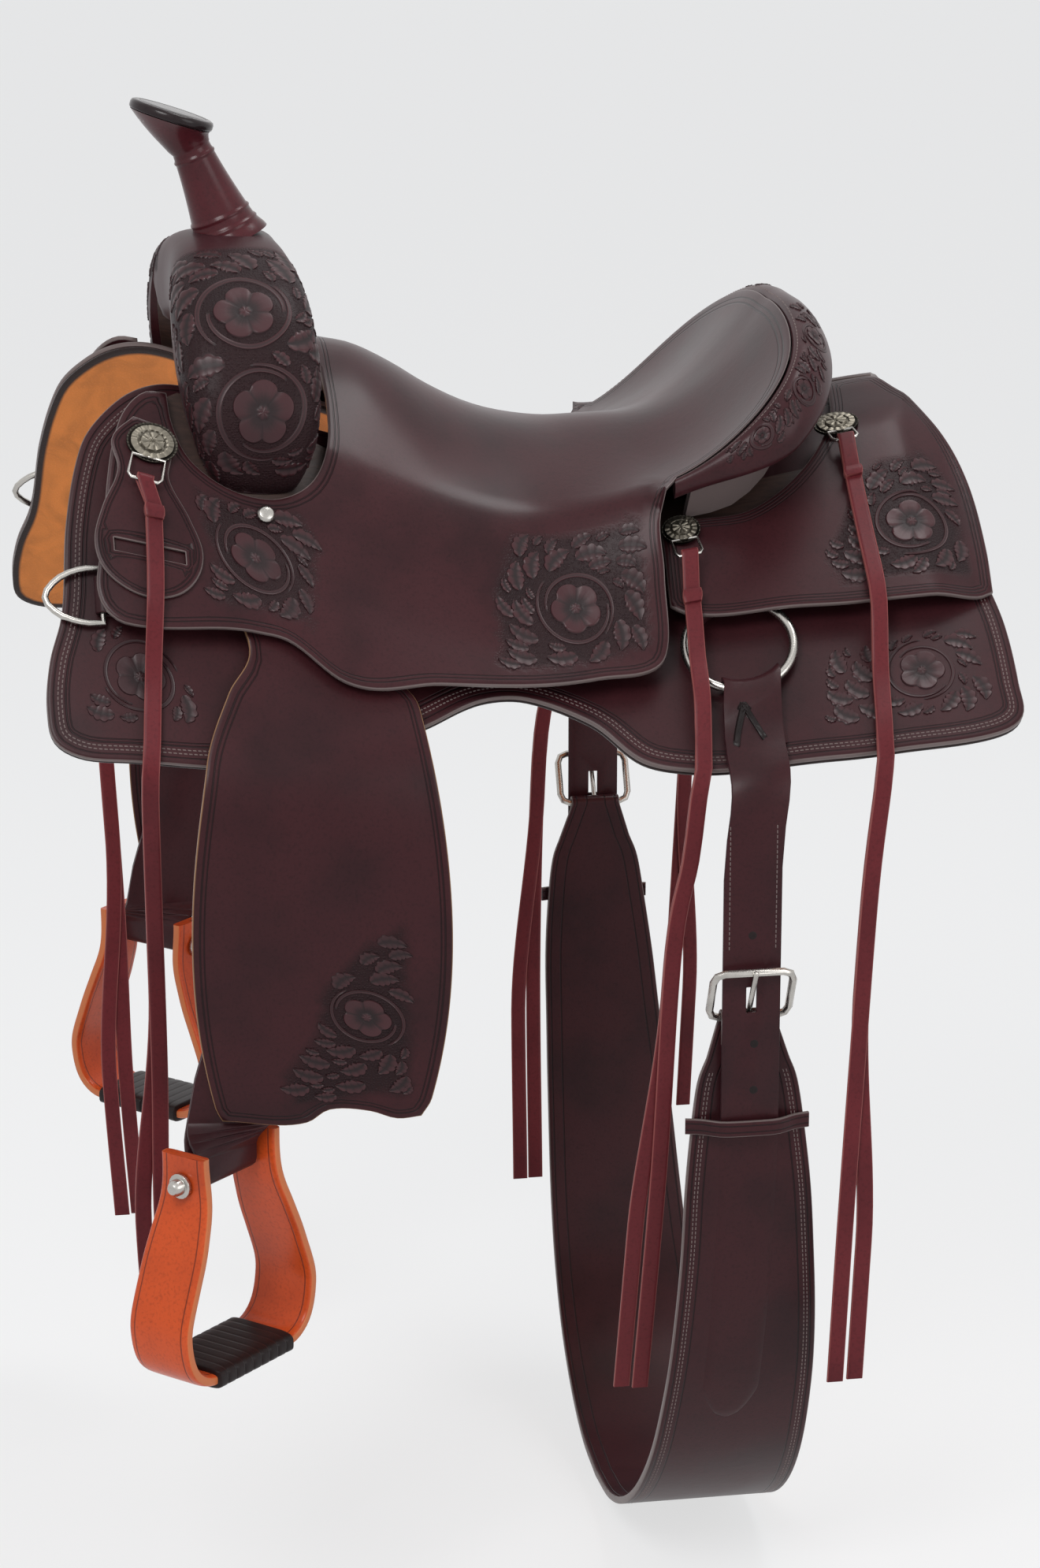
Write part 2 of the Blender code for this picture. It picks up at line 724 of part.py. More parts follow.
horn_foot = Vector(HORN_FOOT)
horn_top = Vector(HORN_TOP)
horn_axis = (horn_top - horn_foot).normalized()
horn_length = (horn_top - horn_foot).length
cap_tilt = math.radians(HORN_CAP_TILT)
cap_axis = Vector((math.sin(cap_tilt), 0.0, math.cos(cap_tilt)))
NECK_FOOT_RADIUS = 0.0245
NECK_TOP_RADIUS = 0.0140
CAP_UNDER = 0.013
CAP_THICKNESS = 0.0075
CAP_OFFSET = (-0.0135, 0.0, -0.003)


def neck_radius(share):
    """The neck's outside, from its foot to the cap's flare."""
    return NECK_TOP_RADIUS + (NECK_FOOT_RADIUS - NECK_TOP_RADIUS) * (1 - share) ** 1.6


NECK_SHARE = 0.84
neck_steps = [NECK_SHARE * k / 5 for k in range(6)]
neck_outer = [(neck_radius(t), 0.001 + t * horn_length) for t in neck_steps]
neck_inner = [(r - HORN_WRAP, h) for r, h in reversed(neck_outer)]
horn_wrap = turned("horn_wrap", neck_outer + neck_inner, horn_foot, horn_axis, string_leather, sides=18)
post = [(neck_radius(t) - HORN_WRAP - 0.0006, 0.001 + t * horn_length) for t in neck_steps]
post_top = 0.93 * horn_length
post = [(0.0, 0.001), *post, (post[-1][0], post_top), (0.0, post_top)]
horn_post = turned("horn_post", post, horn_foot, horn_axis, steel, sides=18)
cap_foot = horn_top + Vector(CAP_OFFSET)


def flange(spare):
    """The cap plate's outline, grown by a clearance."""
    return [
        (0.0, -spare),
        (NECK_TOP_RADIUS + spare, -spare),
        (HORN_CAP_RADIUS * 0.72 + spare, CAP_UNDER * 0.45 - spare),
        (HORN_CAP_RADIUS - 0.002 + spare, CAP_UNDER - 0.001),
        (0.0, CAP_UNDER - 0.001),
    ]


join(horn_post, turned("horn_cap_plate", flange(0.0), cap_foot, cap_axis, steel, sides=24))
cut(horn_wrap, turned("horn_plate_room", flange(0.0005), cap_foot, cap_axis, steel, sides=24))
cap_base = cap_foot + (CAP_UNDER - 0.001 + 0.0004) * cap_axis
cap = [
    (0.0, 0.0), (HORN_CAP_RADIUS - 0.001, 0.0), (HORN_CAP_RADIUS, 0.0012),
    (HORN_CAP_RADIUS, CAP_THICKNESS - 0.0025), (HORN_CAP_RADIUS - 0.0025, CAP_THICKNESS - 0.0005),
    (HORN_CAP_RADIUS * 0.55, CAP_THICKNESS), (0.0, CAP_THICKNESS),
]
turned("horn_cap", cap, cap_base, cap_axis, dark_leather, sides=28)
above_horn = [(0.0, 0.0), (0.058, 0.0), (0.058, 0.05), (0.0, 0.05)]
horn_seat = horn_foot - HORN_SEAT_GAP * horn_axis
for made in (fork, fork_cover):
    cut(made, turned(f"above_{made.name}", above_horn, horn_seat, horn_axis, wood, sides=18))


def slab(name, inner, outer, made_of, smooth=40):
    """A closed sheet between two grids of points, each a list of rows."""
    bm = bmesh.new()
    low = [[bm.verts.new(p) for p in row] for row in inner]
    high = [[bm.verts.new(p) for p in row] for row in outer]
    rows = len(low)
    columns = len(low[0])
    for i in range(rows - 1):
        for j in range(columns - 1):
            bm.faces.new((high[i][j], high[i][j + 1], high[i + 1][j + 1], high[i + 1][j]))
            bm.faces.new((low[i][j], low[i + 1][j], low[i + 1][j + 1], low[i][j + 1]))
    for i in range(rows - 1):
        for j in (0, columns - 1):
            bm.faces.new((low[i][j], low[i + 1][j], high[i + 1][j], high[i][j]))
    for j in range(columns - 1):
        for i in (0, rows - 1):
            bm.faces.new((low[i][j], low[i][j + 1], high[i][j + 1], high[i][j]))
    return add_object(name, bm, made_of, smooth)


def spread(half, count):
    """Even steps from minus half to plus half."""
    return [half * (2 * k / (count - 1) - 1) for k in range(count)]


# Breast collar keepers, dees and the straps that hold the dees

KEEPER_SLOT = [(-0.320, 0.266), (-0.320, 0.276), (-0.269, 0.276), (-0.269, 0.266)]
HOLDER_HALF_WIDTH = 0.014
HOLDER_BACK = 0.045
HOLDER_ROOM = 0.0005


def keeper_floor(x, s):
    return seat_lift(x, s) + LAYER_GAP


def turned_about(centre, reach, rise, turn):
    """An offset and a lift on an ellipse, with the turn in degrees."""
    angle = math.radians(turn)
    return centre[0] + reach * math.cos(angle), centre[1] + rise * math.sin(angle)


for side, sign in SIDES:
    outline = KEEPER_OUTLINE if sign > 0 else mirrored(KEEPER_OUTLINE)
    slot = KEEPER_SLOT if sign > 0 else mirrored(KEEPER_SLOT)
    sheet(
        f"breast_collar_keeper_{side}", outline, keeper_floor,
        lambda x, s: keeper_floor(x, s) + KEEPER, dark_leather, holes=[slot],
    )
    loop = [(0.0, -1.0), (0.0, 0.0), (0.0, 1.0), (-0.25, 1.0), (-0.55, 0.86), (-0.85, 0.5)]
    loop += [(-1.0, 0.0), (-0.85, -0.5), (-0.55, -0.86), (-0.25, -1.0)]
    path = [on_side(DEE_X + DEE_REACH * a, sign * (DEE_S + DEE_HALF_HEIGHT * b), DEE_LIFT) for a, b in loop]
    flat_up = side_frame(DEE_X, sign * DEE_S)[1]
    dee = wire(f"breast_dee_{side}", path, DEE_WIRE, steel, closed=True, up=flat_up)
    set_origin(dee, on_side(DEE_X, sign * DEE_S, DEE_LIFT))
    clear = DEE_WIRE + HOLDER_ROOM
    lower = []
    upper = []
    for offset in spread(HOLDER_HALF_WIDTH, 3):
        s = sign * (DEE_S + offset)
        near_row = [(DEE_X + HOLDER_BACK, DEE_LIFT - clear)]
        far_row = [(DEE_X + HOLDER_BACK, DEE_LIFT - clear - HOLDER)]
        for turn in range(-90, 91, 30):
            a, b = turned_about((0.0, DEE_LIFT), clear, clear, turn)
            near_row.append((DEE_X - a, b))
            a, b = turned_about((0.0, DEE_LIFT), clear + HOLDER, clear + HOLDER, turn)
            far_row.append((DEE_X - a, b))
        near_row.append((DEE_X + HOLDER_BACK, DEE_LIFT + clear))
        far_row.append((DEE_X + HOLDER_BACK, DEE_LIFT + clear + HOLDER))
        lower.append([on_side(x, s, lift) for x, lift in near_row])
        upper.append([on_side(x, s, lift) for x, lift in far_row])
    slab(f"dee_holder_{side}", lower, upper, dark_leather)


# Rear rigging: a strap folded round the ring's top, the ring, and the billet folded round its bottom

RIGGING_HALF_WIDTH = 0.022
RIGGING_TOP_S = 0.180
RIGGING_ROOM = 0.0013
BILLET_ROOM = 0.0004
BILLET_LAP_END = 0.333
BILLET_EDGE = 0.350
BILLET_END = -0.400
BILLET_DRIFT = -0.010
BILLET_LAP_DRIFT = -0.003
BILLET_DROPS = (
    0.0, 0.006, 0.014, 0.026, 0.045, 0.075, 0.110, 0.140, 0.154, 0.170, 0.182, 0.195, 0.220,
)


def wire_cross(offset):
    """How far above or below the ring's centre its wire passes, and how obliquely."""
    reach = math.sqrt(RING_RADIUS**2 - offset**2)
    return reach, RING_RADIUS / reach


def ring_place(offset, sign, s, lift):
    """A place in the flat frame of the ring."""
    middle, normal, along, down = surface_frame(RING_X, sign * RING_S, RING_LIFT)
    return middle + offset * along + (s - RING_S) * down + (lift - RING_LIFT) * normal


def rigging_row(offset, sign, spare):
    reach, slant = wire_cross(offset)
    s = RING_S - reach
    clear = RING_WIRE + RIGGING_ROOM + spare
    spots = [(RIGGING_TOP_S, RING_LIFT - clear)]
    spots += [turned_about((s, RING_LIFT), clear * slant, clear, turn) for turn in range(-90, 91, 30)]
    spots += [(RIGGING_TOP_S, RING_LIFT + clear)]
    return [ring_place(offset, sign, a, b) for a, b in spots]


def hung(x, s, lift, edge, plane, middle, drop):
    """A place on a strap that leaves the panel at an edge and bends until it hangs in a plane."""
    side = -1.0 if s >= 0 else 1.0
    start, normal, down = side_frame(x, math.copysign(edge, s))
    start = start + middle * normal
    room = plane - abs(start.y)
    lean = room * math.exp(-drop * abs(down.y / down.z) / room)
    steep = abs(down.y / down.z) * lean / room
    outward = Vector((0.0, side, steep)).normalized()
    return Vector((x, side * (plane - lean), start.z - drop)) + (lift - middle) * outward


def billet_row(offset, sign, spare):
    """One column of the billet: the lap under the ring, the fold and the outer run to its tip."""
    reach, slant = wire_cross(offset)
    s = RING_S + reach
    clear = RING_WIRE + BILLET_ROOM + spare
    spots = [(BILLET_LAP_END, RING_LIFT - clear), (0.306, RING_LIFT - clear)]
    found = [on_side(RING_X + offset, sign * a, b) for a, b in spots]
    spots = [turned_about((s, RING_LIFT), -clear * slant, clear, turn) for turn in range(-90, 91, 30)]
    found += [ring_place(offset, sign, a, b) for a, b in spots]
    low = RING_LIFT - RING_WIRE - BILLET_ROOM
    for a, b in ((0.294, low + 0.0065), (0.306, low + 0.0025), (0.318, low + 0.0005), (0.336, low + 0.0005)):
        x = RING_X + offset + BILLET_LAP_DRIFT * ease((a - 0.290) / 0.046)
        found.append(on_side(x, sign * a, b + spare))
    middle = low + 0.0005 + 0.5 * BILLET
    top = on_side(RING_X, BILLET_EDGE, middle).z
    for drop in (*BILLET_DROPS, top - BILLET_END):
        x = RING_X + offset + BILLET_LAP_DRIFT + (BILLET_DRIFT - BILLET_LAP_DRIFT) * ease(drop / 0.07)
        found.append(hung(x, sign, low + 0.0005 + spare, BILLET_EDGE, BILLET_PLANE, middle, drop))
    return found


frame_tilt = math.radians(BUCKLE_TILT)
for side, sign in SIDES:
    middle, flat_up, along, down = surface_frame(RING_X, sign * RING_S, RING_LIFT)
    turns = [math.tau * k / 26 for k in range(26)]
    path = [middle + RING_RADIUS * (math.cos(a) * along + math.sin(a) * down) for a in turns]
    wire(f"rigging_ring_{side}", path, RING_WIRE, steel, closed=True, up=flat_up)
    columns = spread(RIGGING_HALF_WIDTH, 7)
    slab(
        f"rear_rigging_{side}", [rigging_row(a, sign, 0.0) for a in columns],
        [rigging_row(a, sign, RIGGING) for a in columns], dark_leather,
    )
    columns = spread(0.5 * BILLET_WIDTH, 7)
    billet = slab(
        f"flank_billet_{side}", [billet_row(a, sign, 0.0) for a in columns],
        [billet_row(a, sign, BILLET) for a in columns], dark_leather,
    )

    # The buckle's frame leans, so its top bar is in front of the billet and its anchor bar is behind
    out = -sign
    centre = Vector((BUCKLE_X, out * BILLET_PLANE, BUCKLE_HEIGHT))
    rise = Vector((0.0, out * math.sin(frame_tilt), math.cos(frame_tilt)))
    half_width = 0.5 * BUCKLE_WIDTH
    half_length = 0.5 * BUCKLE_LENGTH
    bend = 0.008
    corners = []
    for a, b, first in ((1, 1, 0), (-1, 1, 90), (-1, -1, 180), (1, -1, 270)):
        for turn in (0, 45, 90):
            angle = math.radians(first + turn)
            x = a * (half_width - bend) + bend * math.cos(angle)
            z = b * (half_length - bend) + bend * math.sin(angle)
            corners.append(centre + Vector((x, 0, 0)) + z * rise)
    face = Vector((0.0, out * math.cos(frame_tilt), -math.sin(frame_tilt)))
    frame = wire(f"flank_buckle_{side}", corners, BUCKLE_WIRE, steel, closed=True, up=face)
    anchor = centre - half_length * rise
    over = centre + half_length * rise + (BUCKLE_WIRE + 0.001) * face
    tongue_path = [anchor, anchor.lerp(over, 0.5), over, over + 0.004 * rise + 0.0005 * face]
    tongue = wire(f"buckle_tongue_{side}", tongue_path, 0.0021, steel, sides=6, up=(1, 0, 0))
    join(frame, tongue)
    slot = strap(
        f"billet_slot_{side}", [centre + Vector((0, 0.02, -0.004)), centre + Vector((0, -0.02, -0.004))],
        (1, 0, 0), 0.0080, 0.0200, steel,
    )
    cut(billet, slot)


# Flank cinch: one wide strap under the belly, folded round the anchor bar of each buckle

CINCH_FLAP = 0.0025
CINCH_NECK = 0.042
CINCH_RUN = (
    # y, z, width and thickness on the near half
    (-0.2965, -0.349, 0.062, 0.0035), (-0.2960, -0.369, 0.076, 0.0045), (-0.2950, -0.405, 0.086, CINCH),
    (-0.2910, -0.455, 0.096, CINCH), (-0.2830, -0.510, 0.102, CINCH), (-0.2690, -0.570, 0.109, CINCH),
    (-0.2470, -0.635, 0.115, CINCH), (-0.2130, -0.700, 0.120, CINCH), (-0.1680, -0.752, 0.124, CINCH),
    (-0.1150, -0.790, 0.126, CINCH), (-0.0580, -0.813, 0.127, CINCH), (0.0, -0.820, 0.127, CINCH),
)


def cinch_end():
    """The near end's fold round the anchor bar: points, widths and thicknesses."""
    rise = Vector((0.0, -math.sin(frame_tilt), math.cos(frame_tilt)))
    anchor = Vector((BUCKLE_X, -BILLET_PLANE, BUCKLE_HEIGHT)) - 0.5 * BUCKLE_LENGTH * rise
    clear = BUCKLE_WIRE + 0.0004 + 0.5 * CINCH_FLAP
    found = [(anchor + Vector((0, -clear, -0.020)), CINCH_NECK, CINCH_FLAP)]
    for turn in range(180, -1, -30):
        angle = math.radians(turn)
        spot = anchor + Vector((0.0, clear * math.cos(angle), clear * math.sin(angle)))
        found.append((spot, CINCH_NECK, CINCH_FLAP))
    return found


def cinch_centre(z):
    """The cinch drifts a little back as it goes under the belly."""
    return BUCKLE_X + 0.009 * ease((-0.33 - z) / 0.3)


near_half = cinch_end()
near_half += [(Vector((cinch_centre(z), y, z)), width, thick) for y, z, width, thick in CINCH_RUN]
far_half = [(Vector((p.x, -p.y, p.z)), width, thick) for p, width, thick in reversed(near_half[:-1])]
whole = near_half + far_half
cinch = strap(
    "flank_cinch", [p for p, _, _ in whole], (1, 0, 0),
    [w for _, w, _ in whole], [k for _, _, k in whole], dark_leather,
)
for side, sign in SIDES:
    rise = Vector((0.0, -sign * math.sin(frame_tilt), math.cos(frame_tilt)))
    anchor = Vector((BUCKLE_X, -sign * BILLET_PLANE, BUCKLE_HEIGHT)) - 0.5 * BUCKLE_LENGTH * rise
    notch = strap(
        f"tongue_notch_{side}", [anchor + Vector((0, 0, -0.006)), anchor + Vector((0, 0, 0.015))],
        (1, 0, 0), 0.009, 0.026, steel,
    )
    cut(cinch, notch)


# Fenders, stirrup leathers and stirrups


def fender_edge(x):
    """Where the fender leaves the skirt's lower edge."""
    return float(np.interp(x, (-0.264, -0.172, -0.100), (0.420, 0.375, 0.317))) + FENDER_BEND


def fender_place(x, v, lift):
    """A place on the fender: v is the distance from the ridge, on past the skirt's edge."""
    edge = fender_edge(x)
    if abs(v) <= edge:
        return on_side(x, v, lift)
    down = side_frame(x, edge)[2]
    drop = (abs(v) - edge) * abs(down.z)
    return hung(x, v, lift, edge, FENDER_PLANE, FENDER_FLOOR + 0.5 * FENDER, drop)


def fender_v(x, z):
    """The distance from the ridge at which the hanging fender reaches a height."""
    edge = fender_edge(x)
    point, normal, down = side_frame(x, edge)
    start = point + (FENDER_FLOOR + 0.5 * FENDER) * normal
    return edge + (start.z - z) / abs(down.z)


fender_outline = []
for turn in range(180, -1, -20):
    a, b = turned_about((FENDER_PIVOT_X, FENDER_PIVOT_S), FENDER_NECK, -FENDER_NECK, turn)
    fender_outline.append((a, b))
fender_outline += [(-0.140, 0.285), (-0.108, 0.300), (-0.103, 0.318)]
for x, z in (
    (-0.104, -0.372), (-0.112, -0.385), (-0.130, -0.386), (-0.150, -0.379), (-0.180, -0.376),
    (-0.197, -0.385), (-0.259, -0.380), (-0.264, -0.370),
):
    fender_outline.append((x, fender_v(x, z)))
fender_outline += [(-0.264, 0.424), (-0.244, 0.360), (-0.226, 0.316)]
LEATHER_STEPS = (
    -0.215, -0.250, -0.285, -0.320, -0.350, -0.382, -0.386, -0.389, -0.393, -0.397, -0.401, -0.405, -0.409,
)
BOLT_ROOM = 0.0008
FOLD_REACH = BOLT_RADIUS + BOLT_ROOM + 0.5 * STIRRUP_LEATHER
LEATHER_TOP_X = -0.212
LEATHER_LAYER = 0.5 * STIRRUP_LEATHER + 0.0002
leather_plane = FENDER_PLANE - 0.5 * FENDER - 0.0011 - STIRRUP_LEATHER - 0.0002
bolt = Vector(BOLT_PLACE)
STIRRUP_PATH = (
    # along the bolt and up from it, for the half before the middle
    (-STIRRUP_TOP_HALF, 0.022), (-STIRRUP_TOP_HALF, -0.012), (-0.050, -0.040), (-0.062, -0.070),
    (-STIRRUP_TREAD_HALF, -0.098), (-STIRRUP_TREAD_HALF, -0.116), (-0.067, -0.132), (-0.058, -0.142),
    (-0.045, -STIRRUP_HEIGHT), (-0.0225, -STIRRUP_HEIGHT), (0.0, -STIRRUP_HEIGHT),
)


def leather_middle(z):
    """The stirrup leather's middle between its two layers, its half gap and its turn."""
    share = ease((LEATHER_STEPS[5] - z) / (LEATHER_STEPS[5] - LEATHER_STEPS[-2]))
    x = LEATHER_TOP_X + (bolt.x + 0.006 - LEATHER_TOP_X) * ease((-0.21 - z) / 0.19)
    x += (bolt.x - x) * share
    y = leather_plane + (abs(bolt.y) - leather_plane) * share
    gap = LEATHER_LAYER + (FOLD_REACH - LEATHER_LAYER) * share
    return Vector((x, -y, z)), gap, math.radians(STIRRUP_TURN) * share


def leather_points():
    """The near leather's path down its outer layer, round the bolt and up its inner layer."""
    turned_across = []
    outer = []
    inner = []
    for z in LEATHER_STEPS:
        middle, gap, turn = leather_middle(z)
        out = Vector((math.sin(turn), -math.cos(turn), 0.0))
        outer.append(middle + gap * out)
        inner.append(middle - gap * out)
        turned_across.append(Vector((math.cos(turn), math.sin(turn), 0.0)))
    turn = math.radians(STIRRUP_TURN)
    out = Vector((math.sin(turn), -math.cos(turn), 0.0))
    along = Vector((math.cos(turn), math.sin(turn), 0.0))
    fold = []
    for angle in range(0, 181, 30):
        a = math.radians(angle)
        fold.append(bolt + FOLD_REACH * (math.cos(a) * out - math.sin(a) * Vector((0, 0, 1))))
    path = outer + fold + inner[::-1]
    return path, turned_across + [along] * len(fold) + turned_across[::-1]


def across_y(points, sign):
    """The same points, or their copies on the far side."""
    return [Vector((p.x, sign * p.y, p.z)) for p in points]


leather_path, leather_across = leather_points()
for side, sign in SIDES:
    outline = fender_outline if sign > 0 else mirrored(fender_outline)
    fender = sheet(
        f"fender_{side}", outline, FENDER_FLOOR, FENDER_FLOOR + FENDER, dark_leather, place=fender_place,
    )
    set_origin(fender, on_side(FENDER_PIVOT_X, sign * FENDER_PIVOT_S, FENDER_FLOOR + 0.5 * FENDER))
    strap(
        f"stirrup_leather_{side}", across_y(leather_path, sign), across_y(leather_across, sign),
        STIRRUP_LEATHER_WIDTH, STIRRUP_LEATHER, dark_leather,
    )
    place = Vector((bolt.x, sign * bolt.y, bolt.z))
    turn = math.radians(STIRRUP_TURN)
    along = Vector((math.cos(turn), sign * math.sin(turn), 0.0))
    deep = Vector((math.sin(turn), -sign * math.cos(turn), 0.0))
    half = list(STIRRUP_PATH)
    whole = half + [(-a, b) for a, b in reversed(half[:-1])]
    path = [place + a * along + Vector((0, 0, b)) for a, b in whole]
    depths = [STIRRUP_DEPTH - 0.015 * (1 - ease((0.018 - b) / 0.08)) for _, b in whole]
    stirrup = strap(
        f"stirrup_{side}", path, deep, depths, STIRRUP_BAND,
        lambda n: material(n, (0.45, 0.13, 0.04), 0.4),
    )
    shaft = [(0.0, -0.06), (BOLT_RADIUS + 0.0004, -0.06), (BOLT_RADIUS + 0.0004, 0.06), (0.0, 0.06)]
    cut(stirrup, turned(f"bolt_hole_{side}", shaft, place, along, steel, sides=16))
    set_origin(stirrup, place)
    tread = [place + a * along - Vector((0, 0, STIRRUP_HEIGHT)) for a in spread(0.044, 5)]
    strap(
        f"tread_wrap_{side}", tread, deep, STIRRUP_DEPTH + 0.0012 + 2 * TREAD_WRAP,
        STIRRUP_BAND + 0.0012 + 2 * TREAD_WRAP, dark_leather,
        bore=(STIRRUP_DEPTH + 0.0012, STIRRUP_BAND + 0.0012),
    )
    nut = [(0.0040, -0.0575), (0.0062, -0.0540), (0.0062, -0.0492), (0.0095, -0.0492), (0.0095, -0.0461)]
    nut = [(0.0, -0.0585), *nut, (BOLT_RADIUS, -0.0461)]
    profile = nut + [(r, -h) for r, h in reversed(nut)]
    turned(f"stirrup_bolt_{side}", profile, place, along, steel, sides=16)


# Conchos with their bails, and the saddle strings that are looped through them

BAIL_WIRE = 0.0012
BAIL_FOOT = 0.0022
BAIL_LIFT = 0.0068
CONCHO_ROOM = 0.0016
STRING_ROOM = 0.0003
CONCHOS = (
    # name, x, s, radius, ovalness, bail half-width, bail reach past the rim
    ("front", -0.288, 0.189, 0.0190, 0.80, 0.0125, 0.017),
    ("middle", 0.1080, 0.145, 0.0145, 0.92, 0.0100, 0.016),
    ("rear", 0.2455, 0.067, 0.0175, 0.78, 0.0100, 0.014),
)


def concho_floor(name, x, s):
    """The leather on which a concho sits."""
    if name == "front":
        return keeper_floor(x, s) + KEEPER
    return rear_jockey_floor(x, s) + JOCKEY


def concho(name, side, sign, x, s, radius, ovalness, half_width, reach):
    floor = lambda a, b: concho_floor(name, a, b) + CONCHO_ROOM
    foot, normal, along, down = surface_frame(x, sign * s, floor)
    profile = [(0.0, 0.0), (radius, 0.0), (radius, 0.0012), (0.85 * radius, 0.0030)]
    profile += [(0.5 * radius, 0.0046), (0.0, 0.0052)]
    dome = turned(
        f"concho_{name}_{side}", profile, foot, normal, silver, sides=20, ovalness=ovalness, across=along,
    )
    inner = radius * ovalness - 0.003
    outer = radius * ovalness + reach
    spots = []
    half = [(-1, inner), (-1, outer - 0.003), (-0.8, outer)]
    for a, b in half + [(-a, b) for a, b in reversed(half)]:
        rise = BAIL_FOOT + (BAIL_LIFT - BAIL_FOOT) * (b - inner) / (outer - inner)
        spots.append(foot + a * half_width * along + b * down + rise * normal)
    join(dome, wire(f"bail_{name}_{side}", spots, BAIL_WIRE, silver, sides=6, closed=True, up=normal))
    return foot + outer * down + BAIL_LIFT * normal, normal, along, down


STRING_RUNS = {
    # x, s and height above the panel for the upper strand's middle, then x, y and z where it hangs free,
    # and how far the under strand's tip parts from the upper one
    "front": (
        ((-0.290, 0.238, 0.0400), (-0.292, 0.290, 0.0400), (-0.294, 0.318, 0.0385), (-0.296, 0.345, 0.0260),
         (-0.298, 0.375, 0.0155), (-0.301, 0.412, 0.0155)),
        ((-0.303, -0.2690, -0.113), (-0.304, -0.2660, -0.140), (-0.301, -0.2360, -0.240),
         (-0.297, -0.1980, -0.370), (-0.296, -0.1740, -0.500), (-0.289, -0.1660, -0.625)),
        -0.014,
    ),
    "middle": (
        ((0.1090, 0.195, 0.0370), (0.108, 0.222, 0.0320), (0.106, 0.250, 0.0285), (0.104, 0.285, 0.0285),
         (0.102, 0.315, 0.0170)),
        ((0.098, -0.2850, -0.130), (0.094, -0.2870, -0.152), (0.089, -0.2850, -0.200),
         (0.078, -0.2800, -0.270), (0.071, -0.2670, -0.450), (0.066, -0.2280, -0.640)),
        -0.014,
    ),
    "rear": (
        ((0.247, 0.115, 0.0345), (0.246, 0.170, 0.0345), (0.245, 0.228, 0.0360), (0.243, 0.255, 0.0300),
         (0.240, 0.288, 0.0165), (0.234, 0.335, 0.0160)),
        ((0.230, -0.3030, -0.122), (0.227, -0.3080, -0.145), (0.219, -0.3100, -0.220),
         (0.212, -0.3100, -0.350), (0.206, -0.3100, -0.470), (0.200, -0.3100, -0.610)),
        0.016,
    ),
}


def string_route(name, sign, place, normal, along, down):
    """The path from the upper tip to the bail, through its fold and down to the under tip, and its across."""
    laid, free, parting = STRING_RUNS[name]
    spots = curve_points(laid, 0.035)
    frames = [surface_frame(x, sign * s, lift) for x, s, lift in spots]
    upper = [frame[0] for frame in frames]
    across = [frame[2] for frame in frames]
    hanging = curve_points([Vector((x, sign * y, z)) for x, y, z in free], 0.045)
    upper += hanging
    across += [Vector((1, 0, 0))] * len(hanging)
    lower = []
    for point, ahead, side in zip(upper, directions(upper), across):
        out = side.cross(ahead).normalized()
        if out.y * sign > 0:
            out = -out
        apart = parting * ease((-0.30 - point.z) / 0.2)
        lower.append(point - (STRING + STRING_ROOM) * out + Vector((apart, 0, 0)))
    reach = BAIL_WIRE + 3.5 * STRING_ROOM + 0.5 * STRING
    turns = [math.radians(angle) for angle in range(90, 271, 30)]
    fold = [place + reach * (math.cos(a) * down + math.sin(a) * normal) for a in turns]
    return upper[::-1] + fold + lower, across[::-1] + [along] * len(fold) + across


for name, x, s, radius, ovalness, half_width, reach in CONCHOS:
    for side, sign in SIDES:
        frame = concho(name, side, sign, x, s, radius, ovalness, half_width, reach)
        path, across = string_route(name, sign, *frame)
        strap(f"saddle_string_{name}_{side}", path, across, STRING_WIDTH, STRING, string_leather)


# Pommel screws

for side, sign in SIDES:
    foot, normal, along, _ = surface_frame(-0.207, sign * 0.208, lambda x, s: seat_lift(x, s) + CONCHO_ROOM)
    head = [(0.0, 0.0), (0.0068, 0.0), (0.0068, 0.0010), (0.0052, 0.0030), (0.0, 0.0040)]
    turned(f"pommel_screw_{side}", head, foot, normal, steel, sides=16, across=along)
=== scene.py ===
import math
import random

import bmesh
import bpy
import numpy as np
from mathutils import Matrix, Vector
from mathutils.bvhtree import BVHTree
from mathutils.geometry import delaunay_2d_cdt


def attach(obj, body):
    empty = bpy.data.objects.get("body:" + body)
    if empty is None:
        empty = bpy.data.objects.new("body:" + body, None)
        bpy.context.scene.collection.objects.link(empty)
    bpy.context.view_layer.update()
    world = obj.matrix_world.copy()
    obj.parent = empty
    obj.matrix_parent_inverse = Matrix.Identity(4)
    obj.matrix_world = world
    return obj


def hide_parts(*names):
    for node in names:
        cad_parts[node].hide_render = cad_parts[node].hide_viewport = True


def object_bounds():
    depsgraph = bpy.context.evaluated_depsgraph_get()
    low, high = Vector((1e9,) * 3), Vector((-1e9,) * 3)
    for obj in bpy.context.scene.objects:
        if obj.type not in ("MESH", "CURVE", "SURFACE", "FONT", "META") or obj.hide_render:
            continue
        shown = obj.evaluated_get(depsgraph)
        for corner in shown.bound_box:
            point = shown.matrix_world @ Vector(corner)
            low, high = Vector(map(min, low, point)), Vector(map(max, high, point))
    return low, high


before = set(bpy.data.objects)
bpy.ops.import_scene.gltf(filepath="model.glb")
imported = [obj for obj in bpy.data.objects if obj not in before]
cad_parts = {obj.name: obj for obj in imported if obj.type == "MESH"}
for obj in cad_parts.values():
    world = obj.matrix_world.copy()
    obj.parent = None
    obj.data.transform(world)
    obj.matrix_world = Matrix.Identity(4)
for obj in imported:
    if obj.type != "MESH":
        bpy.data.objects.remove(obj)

cad_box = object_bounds()


# Camera: a long lens in front of the near side, a little toward the horn, about level with the seat.
# Its place was worked out from the skirts' real length and where they lie in the photograph.

